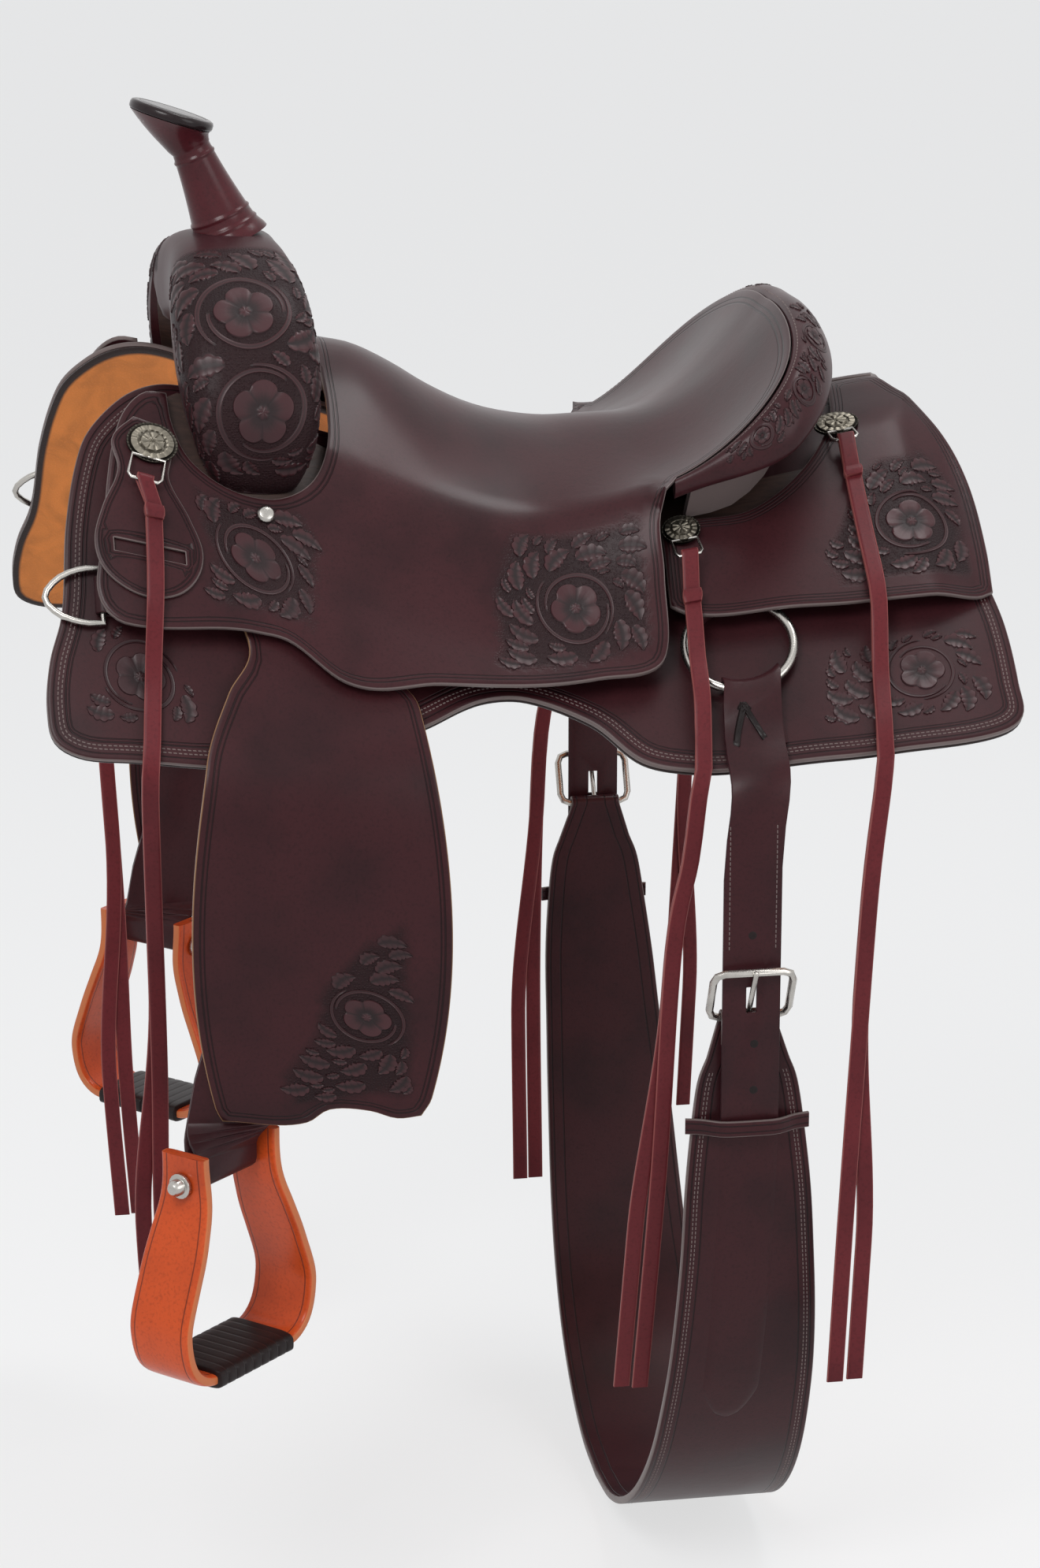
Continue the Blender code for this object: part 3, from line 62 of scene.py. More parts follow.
TARGET = Vector((0.012, 0.0, -0.215))
VIEW_TURN = math.radians(10.0)
VIEW_FALL = math.radians(15.5)
VIEW_DISTANCE = 3.2

look = Vector((
    math.cos(VIEW_FALL) * math.sin(VIEW_TURN), math.cos(VIEW_FALL) * math.cos(VIEW_TURN), -math.sin(VIEW_FALL),
))
camera_data = bpy.data.cameras.new("camera")
camera_data.lens = 92.0
camera = bpy.data.objects.new("camera", camera_data)
camera.location = TARGET - VIEW_DISTANCE * look
camera.rotation_euler = look.to_track_quat("-Z", "Y").to_euler()
bpy.context.scene.collection.objects.link(camera)
bpy.context.scene.camera = camera


# Side panels: two ruled surfaces that lean away from a ridge, on which most of the leather lies.
# A place is (x, s, lift): s runs down the side from the ridge, and lift is the height along the normal.

STATIONS = (-0.40, -0.30, -0.20, -0.10, 0.0, 0.10, 0.20, 0.30, 0.40)
RIDGE_HEIGHTS = (0.222, 0.215, 0.165, 0.102, 0.060, 0.055, 0.073, 0.088, 0.088)
SIDE_SLOPES = (59.0, 58.0, 54.0, 48.0, 43.0, 40.5, 40.0, 40.5, 42.0)
RIDGE_ROUNDING = 0.04
ACROSS_STEPS = 17


def curve(stations, values):
    """A function of arrays that follows a cubic curve through the values."""
    stations = np.asarray(stations, float)
    values = np.asarray(values, float)
    slopes = np.gradient(values, stations)
    xs = np.linspace(stations[0], stations[-1], 1201)
    i = np.clip(np.searchsorted(stations, xs) - 1, 0, len(stations) - 2)
    step = stations[i + 1] - stations[i]
    t = (xs - stations[i]) / step
    start = (2 * t**3 - 3 * t**2 + 1) * values[i] + (t**3 - 2 * t**2 + t) * step * slopes[i]
    end = (3 * t**2 - 2 * t**3) * values[i + 1] + (t**3 - t**2) * step * slopes[i + 1]
    return lambda x: np.interp(x, xs, start + end)


def ease(t):
    """0 to 1 with level ends."""
    t = np.clip(t, 0.0, 1.0)
    return t * t * (3 - 2 * t)


ridge_at = curve(STATIONS, RIDGE_HEIGHTS)
slope_at = curve(STATIONS, SIDE_SLOPES)


def arrays(*values):
    """The values as flat arrays of the same length."""
    return [np.ravel(v).astype(float) for v in np.broadcast_arrays(*[np.atleast_1d(v) for v in values])]


def panel(x, s, lift):
    """Points above the side panels."""
    x, s, lift = arrays(x, s, lift)
    steps = np.linspace(0, 1, ACROSS_STEPS)[:, None] * np.abs(s)
    angles = np.radians(slope_at(x)) * (1 - np.exp(-steps / RIDGE_ROUNDING))
    width = np.abs(s) / (ACROSS_STEPS - 1)
    run = width * (np.cos(angles).sum(0) - 0.5 * (np.cos(angles[0]) + np.cos(angles[-1])))
    fall = width * (np.sin(angles).sum(0) - 0.5 * (np.sin(angles[0]) + np.sin(angles[-1])))
    side = np.where(s >= 0, -1.0, 1.0)
    end = angles[-1]
    return np.stack([x, side * (run + lift * np.sin(end)), ridge_at(x) - fall + lift * np.cos(end)], axis=-1)


def lean_at(x, s):
    """The panel's slope at a place, in radians."""
    return np.radians(slope_at(x)) * (1 - np.exp(-np.abs(s) / RIDGE_ROUNDING))


def surface_frame(x, s, height):
    """A layer's point, normal, and directions along x and down the slope, as vectors."""
    step = 0.008
    lift = height if callable(height) else lambda a, b: height
    here, back, ahead, above, below = (
        Vector(panel(a, b, lift(a, b))[0])
        for a, b in ((x, s), (x - step, s), (x + step, s), (x, s - step), (x, s + step))
    )
    along = (ahead - back).normalized()
    down = (below - above).normalized()
    down = (down - down.dot(along) * along).normalized()
    normal = along.cross(down).normalized()
    return here, (normal if normal.z > 0 else -normal), along, down


# Saddle strings: long flat strings of soft burgundy latigo, doubled through the bail of each concho so that
# two strands hang one over the other. Cut from one hide, oiled, and left loose.

STRING_WIDTH = 0.0125
STRING = 0.0025
STRING_ROOM = 0.0003
BAIL_WIRE = 0.0012
BAIL_FOOT = 0.0022
BAIL_LIFT = 0.0068
CONCHO_ROOM = 0.0016
LINING = 0.0025
LAYER_GAP = 0.0008
SKIRT = 0.005
SEAT_LEATHER = 0.0045
JOCKEY = 0.004
KEEPER = 0.0035
SKIRT_FLOOR = LINING + LAYER_GAP
SKIRT_TOP = SKIRT_FLOOR + SKIRT
JOCKEY_FLOOR = 0.0255
REAR_JOCKEY_FLOOR = 0.0245
DISH_START = 0.088
DISH_LENGTH = 0.1186
DISH_HALF_WIDTH = 0.1265
RIM_SQUARENESS = 2.5
RIM_TOP = 0.0965
RIM_BULGE = 0.030
LOW_SEAT = 0.083
seat_height_at = curve(
    (-0.20, -0.148, -0.12, -0.09, -0.06, -0.03, 0.0, 0.03, 0.06, DISH_START),
    (0.162, 0.149, 0.143, 0.128, 0.109, 0.094, 0.085, 0.081, 0.082, LOW_SEAT),
)
RIM_SIDE = 0.080
crown_at = curve(
    (-0.20, -0.15, -0.10, -0.05, 0.0, 0.05, DISH_START), (0.031, 0.036, 0.042, 0.047, 0.053, 0.066, RIM_SIDE),
)


def rim_reach(x, s):
    """0 at the seat's middle line and 1 at the cantle's rim, growing on past it."""
    behind = np.maximum(0.0, (x - DISH_START) / DISH_LENGTH)
    return (behind**RIM_SQUARENESS + np.abs(s / DISH_HALF_WIDTH) ** RIM_SQUARENESS) ** (1 / RIM_SQUARENESS)


def rim_point(turn, reach=1.0):
    """x and s on the rim at an angle from the centre line, or at another reach."""
    power = 2 / RIM_SQUARENESS
    x = DISH_START + DISH_LENGTH * reach * np.abs(np.cos(turn)) ** power
    return x, np.sign(turn) * DISH_HALF_WIDTH * reach * np.abs(np.sin(turn)) ** power


def rim_lift(x, s):
    """The rim's height above the panel, at the place on the rim that is nearest."""
    power = RIM_SQUARENESS / 2
    behind = np.maximum(0.0, (x - DISH_START) / DISH_LENGTH)
    turn = np.arctan2(np.abs(s / DISH_HALF_WIDTH) ** power, behind**power)
    return RIM_SIDE + (RIM_TOP - RIM_SIDE) * np.cos(turn) + RIM_BULGE * np.sin(2 * turn)


def seat_lift(x, s):
    """The seat's outer surface above the panel."""
    x, s = arrays(x, s)
    reach = rim_reach(x, s)
    power = 1.4 + 0.8 * ease(x / DISH_START)
    dish = x > DISH_START
    middle = np.where(dish, LOW_SEAT - ridge_at(DISH_START), seat_height_at(x) - ridge_at(x))
    crown = np.where(dish, rim_lift(x, s), crown_at(x))
    low = JOCKEY_FLOOR + SEAT_LEATHER
    inner = middle + (crown - middle) * reach**power
    outer = crown + (low - crown) * ease(reach - 1.0)
    return np.where(dish | (reach <= 1.0), inner, outer)


def rear_jockey_floor(x, s):
    """The rear jockey's underside, which drops past the bars and over the ridge, and rises to one ear."""
    past = ease((x - 0.285) / 0.05)
    over = 1.0 - ease((np.abs(s) - 0.02) / 0.06)
    ear = ease(1 - np.hypot(x - 0.110, np.abs(s) - 0.146) / 0.06)
    return REAR_JOCKEY_FLOOR - np.maximum(0.0145 * past, 0.009 * over) + 0.014 * ear


def keeper_floor(x, s):
    return seat_lift(x, s) + LAYER_GAP


def concho_floor(name, x, s):
    """The leather on which a concho sits."""
    if name == "front":
        return keeper_floor(x, s) + KEEPER
    return rear_jockey_floor(x, s) + JOCKEY


def curve_points(points, step):
    """Points about a step apart on a smooth curve through the given ones."""
    points = [Vector(p) for p in points]
    padded = [2 * points[0] - points[1], *points, 2 * points[-1] - points[-2]]
    found = []
    for a, b, c, d in zip(padded, padded[1:], padded[2:], padded[3:]):
        count = max(1, round((c - b).length / step))
        for k in range(count):
            t = k / count
            bend = (2 * a - 5 * b + 4 * c - d) * t * t + (3 * b - 3 * c + d - a) * t**3
            found.append(0.5 * (2 * b + (c - a) * t + bend))
    return found + [points[-1]]


CONCHOS = (
    # name, x, s, radius, ovalness, bail half-width, bail reach past the rim
    ("front", -0.288, 0.189, 0.0190, 0.80, 0.0125, 0.017),
    ("middle", 0.1080, 0.145, 0.0145, 0.92, 0.0100, 0.016),
    ("rear", 0.2455, 0.067, 0.0175, 0.78, 0.0100, 0.014),
)
STRING_RUNS = {
    # x, s and height above the panel for the upper strand's middle, then x, y and z where it hangs free,
    # and how far the under strand's tip parts from the upper one
    "front": (
        ((-0.290, 0.238, 0.0400), (-0.292, 0.290, 0.0400), (-0.294, 0.318, 0.0385), (-0.296, 0.345, 0.0260),
         (-0.298, 0.375, 0.0155), (-0.301, 0.412, 0.0155)),
        ((-0.303, -0.2690, -0.113), (-0.304, -0.2660, -0.140), (-0.301, -0.2360, -0.240),
         (-0.297, -0.1980, -0.370), (-0.296, -0.1740, -0.500), (-0.289, -0.1660, -0.625)),
        -0.014,
    ),
    "middle": (
        ((0.1090, 0.195, 0.0370), (0.108, 0.222, 0.0320), (0.106, 0.250, 0.0285), (0.104, 0.285, 0.0285),
         (0.102, 0.315, 0.0170)),
        ((0.098, -0.2850, -0.130), (0.094, -0.2870, -0.152), (0.089, -0.2850, -0.200),
         (0.078, -0.2800, -0.270), (0.071, -0.2670, -0.450), (0.066, -0.2280, -0.640)),
        -0.014,
    ),
    "rear": (
        ((0.247, 0.115, 0.0345), (0.246, 0.170, 0.0345), (0.245, 0.228, 0.0360), (0.243, 0.255, 0.0300),
         (0.240, 0.288, 0.0165), (0.234, 0.335, 0.0160)),
        ((0.230, -0.3030, -0.122), (0.227, -0.3080, -0.145), (0.219, -0.3100, -0.220),
         (0.212, -0.3100, -0.350), (0.206, -0.3100, -0.470), (0.200, -0.3100, -0.610)),
        0.016,
    ),
}


def point_values(mesh, name, values):
    """Keeps one value a point on a mesh, for its material to read."""
    mesh.attributes.new(name, "FLOAT", "POINT").data.foreach_set("value", values)


def face_outwards(mesh):
    """Drops the points that no face uses, and turns the faces outwards."""
    bm = bmesh.new()
    bm.from_mesh(mesh)
    bmesh.ops.delete(bm, geom=[v for v in bm.verts if not v.link_faces], context="VERTS")
    bmesh.ops.recalc_face_normals(bm, faces=bm.faces)
    bm.to_mesh(mesh)
    bm.free()


class Shape:
    """Points, faces and one value a point, gathered for one mesh."""

    def __init__(self):
        self.points = []
        self.faces = []
        self.values = []

    def grid(self, points, values, wrap=False, caps=False):
        """Adds rows of points. Wrap closes each row, and caps close the first and last rows."""
        rows, columns = points.shape[:2]
        first = len(self.points)
        self.points += [tuple(p) for p in points.reshape(-1, 3)]
        self.values += [float(v) for v in np.broadcast_to(values, (rows, columns)).reshape(-1)]
        for i in range(rows - 1):
            for j in range(columns if wrap else columns - 1):
                k = (j + 1) % columns
                a = first + i * columns
                self.faces.append((a + j, a + k, a + columns + k, a + columns + j))
        if caps:
            self.faces.append(tuple(first + j for j in reversed(range(columns))))
            self.faces.append(tuple(first + (rows - 1) * columns + j for j in range(columns)))

    def finish(self, name, material, body, nodes=(), sharp=50, value="edge", recalc=True):
        """Makes the object, which rides on a body and stands for the CAD nodes."""
        mesh = bpy.data.meshes.new(name)
        mesh.from_pydata(self.points, [], self.faces)
        point_values(mesh, value, self.values)
        if recalc:
            face_outwards(mesh)
        return add(name, mesh, material, body, nodes, sharp)


FAR_FROM_EDGE = 0.02


def closed_skin(name, rings, material, body, nodes, values=FAR_FROM_EDGE, **finish):
    """A skin over rings of points with both ends capped, made an object."""
    shape = Shape()
    shape.grid(np.array(rings), values, wrap=True, caps=True)
    return shape.finish(name, material, body, nodes, **finish)


def add(name, mesh, material, body, nodes=(), sharp=50):
    """Makes an object of a mesh, and its mirrored copy on the far side if the name ends in left."""
    mesh.shade_smooth()
    mesh.set_sharp_from_angle(angle=math.radians(sharp))
    mesh.materials.clear()
    mesh.materials.append(material)
    sides = [(name, body, nodes, mesh)]
    if name.endswith("_left"):
        far = mesh.copy()
        far.transform(Matrix.Scale(-1, 4, (0, 1, 0)))
        far.flip_normals()
        right = [word.replace("_left", "_right") for word in (name, body, *nodes)]
        sides.append((right[0], right[1], right[2:], far))
    made = []
    for label, rides_on, stands_for, data in sides:
        piece = bpy.data.objects.new(label, data)
        bpy.context.scene.collection.objects.link(piece)
        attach(piece, rides_on)
        if stands_for:
            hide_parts(*stands_for)
        made.append(piece)
    return made


def unit_rows(rows):
    """Each row scaled to a length of one."""
    return rows / np.linalg.norm(rows, axis=1)[:, None]


def point_rows(path):
    return np.asarray([tuple(p) for p in path], float)


def directions(path):
    """Unit directions along an open path, at its points."""
    return unit_rows(np.gradient(point_rows(path), axis=0))


RIM_ROUND = 0.0006


def strap(shape, path, across, width, thickness, insets=(0.0025, 0.006)):
    """A flat strap with rounded edges along a path. Each point's value is its distance from the edge."""
    path = point_rows(path)
    count = len(path)
    across = [tuple(a) for a in across] if len(across) == count else across
    side = unit_rows(np.broadcast_to(np.asarray(across, float), (count, 3)))
    up = unit_rows(np.cross(side, directions(path)))
    half = 0.5 * np.broadcast_to(width, count)[:, None]
    rise = 0.5 * np.broadcast_to(thickness, count)[:, None]
    round_off = np.minimum(RIM_ROUND, 0.4 * rise)
    near = [0.0, RIM_ROUND, *insets]
    offsets = [(-1, d) for d in near] + [(1, d) for d in reversed(near)]
    ring = []
    edge = []
    for face in (1, -1):
        for sign, inset in offsets if face > 0 else reversed(offsets):
            low = round_off if inset == 0.0 else 0.0
            ring.append(path + sign * (half - inset) * side + face * (rise - low) * up)
            edge.append(inset)
    shape.grid(np.stack(ring, axis=1), np.array(edge)[None, :], wrap=True, caps=True)


def fill(tree, made, inputs):
    """Links or sets the inputs of a shader node."""
    for key, value in inputs.items():
        if isinstance(value, bpy.types.NodeSocket):
            tree.links.new(value, made.inputs[key])
        else:
            made.inputs[key].default_value = value


def node(tree, kind, inputs=None, output=0, **settings):
    """Adds a shader node with its settings and inputs, and gives back one of its outputs."""
    made = tree.nodes.new("ShaderNode" + kind)
    for key, value in settings.items():
        setattr(made, key, value)
    fill(tree, made, inputs or {})
    return made.outputs[output]


def object_place(tree):
    """The place on the object, which the patterns follow."""
    return node(tree, "TexCoord", output=3)


def attribute(tree, name):
    """A value that the mesh keeps at its points."""
    return node(tree, "Attribute", output=2, attribute_name=name)


def bump(tree, height, distance, strength):
    return node(tree, "Bump", {"Height": height, "Distance": distance, "Strength": strength})


def darker(colour, share):
    return tuple(share * c for c in colour)


def math_node(tree, operation, a, b=0.0, clamp=False):
    return node(tree, "Math", {0: a, 1: b}, operation=operation, use_clamp=clamp)


def mix(tree, factor, a, b):
    """A mix of two colours."""
    first, second = (c if isinstance(c, bpy.types.NodeSocket) else (*c, 1.0) for c in (a, b))
    return node(tree, "Mix", {0: factor, 6: first, 7: second}, output=2, data_type="RGBA")


def between(tree, value, low, high, out_low=0.0, out_high=1.0):
    """The value mapped smoothly from one range to another."""
    inputs = {0: value, 1: low, 2: high, 3: out_low, 4: out_high}
    return node(tree, "MapRange", inputs, interpolation_type="SMOOTHSTEP")


def group(name, inputs, outputs):
    """An empty node group, with its input sockets by name and its output node."""
    tree = bpy.data.node_groups.new(name, "ShaderNodeTree")
    for label, kind, value in inputs:
        socket = tree.interface.new_socket(label, in_out="INPUT", socket_type="NodeSocket" + kind)
        if value is not None:
            socket.default_value = value
    for label, kind in outputs:
        tree.interface.new_socket(label, in_out="OUTPUT", socket_type="NodeSocket" + kind)
    entry = tree.nodes.new("NodeGroupInput")
    return tree, {socket.name: socket for socket in entry.outputs}, tree.nodes.new("NodeGroupOutput")


def use_group(tree, shared, inputs):
    """Adds a group's node to a tree and gives back its outputs by name."""
    made = tree.nodes.new("ShaderNodeGroup")
    made.node_tree = shared
    fill(tree, made, inputs)
    return {socket.name: socket for socket in made.outputs}


# The grain of leather: small pebbles with pores between them, soft creases, and slow stains of dye
grain_group, given, result = group(
    "leather_grain", [("Vector", "Vector", None), ("Size", "Float", 1.0)],
    [("Height", "Float"), ("Mottle", "Float"), ("Fine", "Float")],
)
scaled = math_node(grain_group, "MULTIPLY", given["Size"], 900.0)
pebbles = node(grain_group, "TexVoronoi", {"Vector": given["Vector"], "Scale": scaled}, feature="SMOOTH_F1")
creases = node(grain_group, "TexNoise", {"Vector": given["Vector"], "Scale": 70.0, "Detail": 5.0, "Distortion": 0.6})
mottle = node(grain_group, "TexNoise", {"Vector": given["Vector"], "Scale": 14.0, "Detail": 4.0})
fine = node(grain_group, "TexNoise", {"Vector": given["Vector"], "Scale": 420.0, "Detail": 2.0})
low_pebbles = math_node(grain_group, "MULTIPLY", pebbles, 0.10)
height = math_node(grain_group, "ADD", low_pebbles, math_node(grain_group, "MULTIPLY", creases, 0.45))
for label, socket in (("Height", height), ("Mottle", mottle), ("Fine", fine)):
    grain_group.links.new(socket, result.inputs[label])

# A tooled line: 1 in a groove at a distance from the leather's edge, 0 elsewhere
line_group, given, result = group(
    "tooled_line", [("Edge", "Float", 0.0), ("Place", "Float", 0.01), ("Half Width", "Float", 0.0006)],
    [("Groove", "Float")],
)
off = math_node(line_group, "ABSOLUTE", math_node(line_group, "SUBTRACT", given["Edge"], given["Place"]))
share = math_node(line_group, "DIVIDE", off, given["Half Width"])
line_group.links.new(between(line_group, share, 0.4, 1.4, 1.0, 0.0), result.inputs["Groove"])


def principled(name):
    """A new material with its tree and shader."""
    made = bpy.data.materials.new(name)
    made.use_nodes = True
    return made, made.node_tree, made.node_tree.nodes["Principled BSDF"]


def leather(
    name, colour, dark, roughness=0.42, lines=(), worn=(0.20, 0.16, 0.15), stamped=False, coat=0.25, relief=1.0,
):
    """Oiled leather with grain, stains, worn edges and, where asked, tooled lines and a stamped ground."""
    made, tree, shader = principled(name)
    place = object_place(tree)
    grain = use_group(tree, grain_group, {"Vector": place, "Size": 1.0})
    tone = mix(tree, between(tree, grain["Mottle"], 0.22, 0.62, 0.25, 1.0), dark, colour)
    tone = mix(tree, between(tree, grain["Fine"], 0.45, 0.8, 0.0, 0.35), tone, darker(dark, 0.55))
    edge = attribute(tree, "edge")
    height = math_node(tree, "MULTIPLY", grain["Height"], 0.30 * relief)
    rough = math_node(tree, "ADD", math_node(tree, "MULTIPLY", grain["Mottle"], 0.16), roughness - 0.08)
    for distance, half in lines:
        groove = use_group(tree, line_group, {"Edge": edge, "Place": distance, "Half Width": half})["Groove"]
        tone = mix(tree, math_node(tree, "MULTIPLY", groove, 0.75), tone, darker(dark, 0.3))
        height = math_node(tree, "SUBTRACT", height, math_node(tree, "MULTIPLY", groove, 0.8))
    if stamped:
        zone = attribute(tree, "zone")
        seeds = node(tree, "TexVoronoi", {"Vector": place, "Scale": 520.0, "Randomness": 0.7})
        dots = math_node(tree, "MULTIPLY", between(tree, seeds, 0.15, 0.55), 0.5)
        tone = mix(tree, math_node(tree, "MULTIPLY", zone, 0.72), tone, darker(dark, 0.35))
        height = math_node(tree, "SUBTRACT", height, math_node(tree, "MULTIPLY", zone, dots))
        rough = math_node(tree, "ADD", rough, math_node(tree, "MULTIPLY", zone, 0.15))
    bare = between(tree, edge, 0.0002, 0.0010, 0.75, 0.0)
    fill(tree, shader, {
        "Base Color": mix(tree, bare, tone, worn), "Roughness": rough, "Normal": bump(tree, height, 0.0010, 0.8),
        "Specular IOR Level": 0.16, "Coat Weight": 0.22 * coat, "Coat Roughness": 0.20,
        "Sheen Weight": 0.02, "Sheen Roughness": 0.5, "Sheen Tint": (0.75, 0.62, 0.72, 1.0),
    })
    return made


DARK = (0.017, 0.0048, 0.0062)
BROWN = (0.039, 0.0086, 0.0108)
BURGUNDY = (0.120, 0.0150, 0.0190)
BURGUNDY_DARK = (0.062, 0.007, 0.010)
string_leather = leather("string_latigo", BURGUNDY, BURGUNDY_DARK, 0.46, worn=(0.30, 0.09, 0.08), coat=0.15)
UPPER_FOLD = (165, 140, 115, 90)
UNDER_FOLD = (195, 220, 245, 270)
STRING_INSETS = (0.0025,)
KNOT_SHARES = (0.1, 0.35, 0.6, 0.85)
KNOT_WIDTHS = (0.0138, 0.0150, 0.0148, 0.0132)
KNOT_THICKNESSES = (0.0060, 0.0072, 0.0070, 0.0058)
KNOT_SINK = 0.0014


def strands(name, x, s, radius, ovalness, reach):
    """The two strands' paths from the middle of the fold round the bail, each with its directions across."""
    foot, normal, along, down = surface_frame(x, s, lambda a, b: concho_floor(name, a, b) + CONCHO_ROOM)
    bail = foot + (radius * ovalness + reach) * down + BAIL_LIFT * normal
    laid, free, parting = STRING_RUNS[name]
    frames = [surface_frame(a, b, lift) for a, b, lift in curve_points(laid, 0.012)]
    upper = [f[0] for f in frames]
    sides = [f[2] for f in frames]
    hanging = curve_points(free, 0.015)
    sides += [Vector((1, 0, 0))] * len(hanging)
    upper += hanging
    lower = []
    for point, ahead, side in zip(upper, directions(upper), sides):
        out = side.cross(Vector(ahead)).normalized()
        out = -out if out.y > 0 else out
        apart = parting * float(ease((-0.30 - point.z) / 0.2))
        lower.append(point - (STRING + STRING_ROOM) * out + Vector((apart, 0, 0)))
    bend = BAIL_WIRE + 3.5 * STRING_ROOM + 0.5 * STRING
    found = []
    for strand, turns in ((upper, UPPER_FOLD), (lower, UNDER_FOLD)):
        angles = [math.radians(t) for t in turns]
        fold = [bail + bend * (math.cos(a) * down + math.sin(a) * normal) for a in angles]
        found.append((fold + strand, [along] * len(fold) + sides))
    return found


for name, x, s, radius, ovalness, half_width, reach in CONCHOS:
    for label, (path, across) in zip(("upper", "under"), strands(name, x, s, radius, ovalness, reach)):
        knots = [None, None]
        if label == "upper":
            shape = Shape()
            first = len(UPPER_FOLD)
            start, end, side = path[first], path[first + 1], across[first]
            sunk = KNOT_SINK * side.cross((end - start).normalized())
            spots = [start.lerp(end, share) - sunk for share in KNOT_SHARES]
            strap(shape, spots, [side] * len(spots), KNOT_WIDTHS, KNOT_THICKNESSES, STRING_INSETS)
            knots = shape.finish(f"string_slit_knot_{name}_left", string_leather, "saddle")
        shape = Shape()
        strap(shape, path, across, STRING_WIDTH, STRING, STRING_INSETS)
        nodes = [f"saddle_string_{name}_left"] if label == "upper" else []
        pieces = shape.finish(f"string_{name}_{label}_left", string_leather, "saddle", nodes)
        steps = [(b - a).length for a, b in zip(path, path[1:])]
        for piece, knot, sign in zip(pieces, knots, (1, -1)):
            route = [(p.x, sign * p.y, p.z) for p in path]


# Skirts and their linings: two thick sides of tooled skirting leather, cut to shape, stitched in two rows along
# the edge, with orange suede glued to the side that lies on the horse.

SKIRT_OUTLINE = [
    (-0.268, 0.122), (-0.297, 0.138), (-0.322, 0.162), (-0.335, 0.180), (-0.343, 0.202),
    (-0.352, 0.245), (-0.360, 0.319), (-0.370, 0.352), (-0.374, 0.388), (-0.370, 0.412),
    (-0.354, 0.424), (-0.326, 0.428), (-0.264, 0.420), (-0.172, 0.375), (-0.100, 0.317),
    (-0.050, 0.277), (-0.020, 0.269), (0.024, 0.285), (0.058, 0.322), (0.087, 0.334),
    (0.161, 0.347), (0.236, 0.357), (0.322, 0.354), (0.341, 0.340), (0.344, 0.310),
    (0.344, 0.255), (0.336, 0.200), (0.334, 0.120), (0.322, 0.072), (0.298, 0.026),
    (0.288, 0.004), (0.200, 0.004), (0.080, 0.016), (0.000, 0.040), (-0.100, 0.075),
    (-0.190, 0.108),
]
EDGE_INSETS = (RIM_ROUND, 0.0030, 0.0060, 0.0095, 0.0135, 0.018)
SHARP_TURN = math.radians(52)


def rounded(outline, step):
    """A closed smooth curve through an outline's points, sharp where the outline turns sharply."""
    points = np.array(outline, float)
    before = points - np.roll(points, 1, axis=0)
    after = np.roll(points, -1, axis=0) - points
    lengths = np.linalg.norm(after, axis=1)
    before, after = unit_rows(before), unit_rows(after)
    sharp = np.arccos(np.clip((before * after).sum(1), -1, 1)) > SHARP_TURN
    middle = unit_rows(before + after)
    found = []
    for i in range(len(points)):
        j = (i + 1) % len(points)
        count = max(1, math.ceil(lengths[i] / step))
        start = (after[i] if sharp[i] else middle[i]) * lengths[i]
        end = (after[i] if sharp[j] else middle[j]) * lengths[i]
        for k in range(count):
            t = k / count
            place = (2 * t**3 - 3 * t**2 + 1) * points[i] + (t**3 - 2 * t**2 + t) * start
            found.append(place + (3 * t**2 - 2 * t**3) * points[j] + (t**3 - t**2) * end)
    return np.array(found)


def within(points, outline):
    """Which points lie in a closed outline."""
    points = np.atleast_2d(points)
    x, s = points[:, 0], points[:, 1]
    found = np.zeros(len(points), bool)
    for (x0, s0), (x1, s1) in zip(outline, np.roll(outline, 1, axis=0)):
        if s0 == s1:
            continue
        found ^= ((s0 > s) != (s1 > s)) & (x < (x1 - x0) * (s - s0) / (s1 - s0) + x0)
    return found


def distance_to(points, outline):
    """Each point's distance from a closed outline."""
    points = np.atleast_2d(points)
    best = np.full(len(points), 1e9)
    for a, b in zip(outline, np.roll(outline, -1, axis=0)):
        along = b - a
        share = np.clip(((points - a) @ along) / max(along @ along, 1e-12), 0, 1)
        best = np.minimum(best, np.linalg.norm(points - a - share[:, None] * along, axis=1))
    return best


def inset_ring(border, inset):
    """Points at a distance inside a closed outline, left out where they come too close to it."""
    ahead = np.roll(border, -1, axis=0) - np.roll(border, 1, axis=0)
    normal = np.stack([-ahead[:, 1], ahead[:, 0]], axis=1) / np.linalg.norm(ahead, axis=1)[:, None]
    turned = np.roll(border, -1, axis=0)
    area = (border[:, 0] * turned[:, 1] - turned[:, 0] * border[:, 1]).sum()
    moved = border + math.copysign(inset, area) * normal
    return moved[(distance_to(moved, border) > 0.93 * inset) & within(moved, border)]


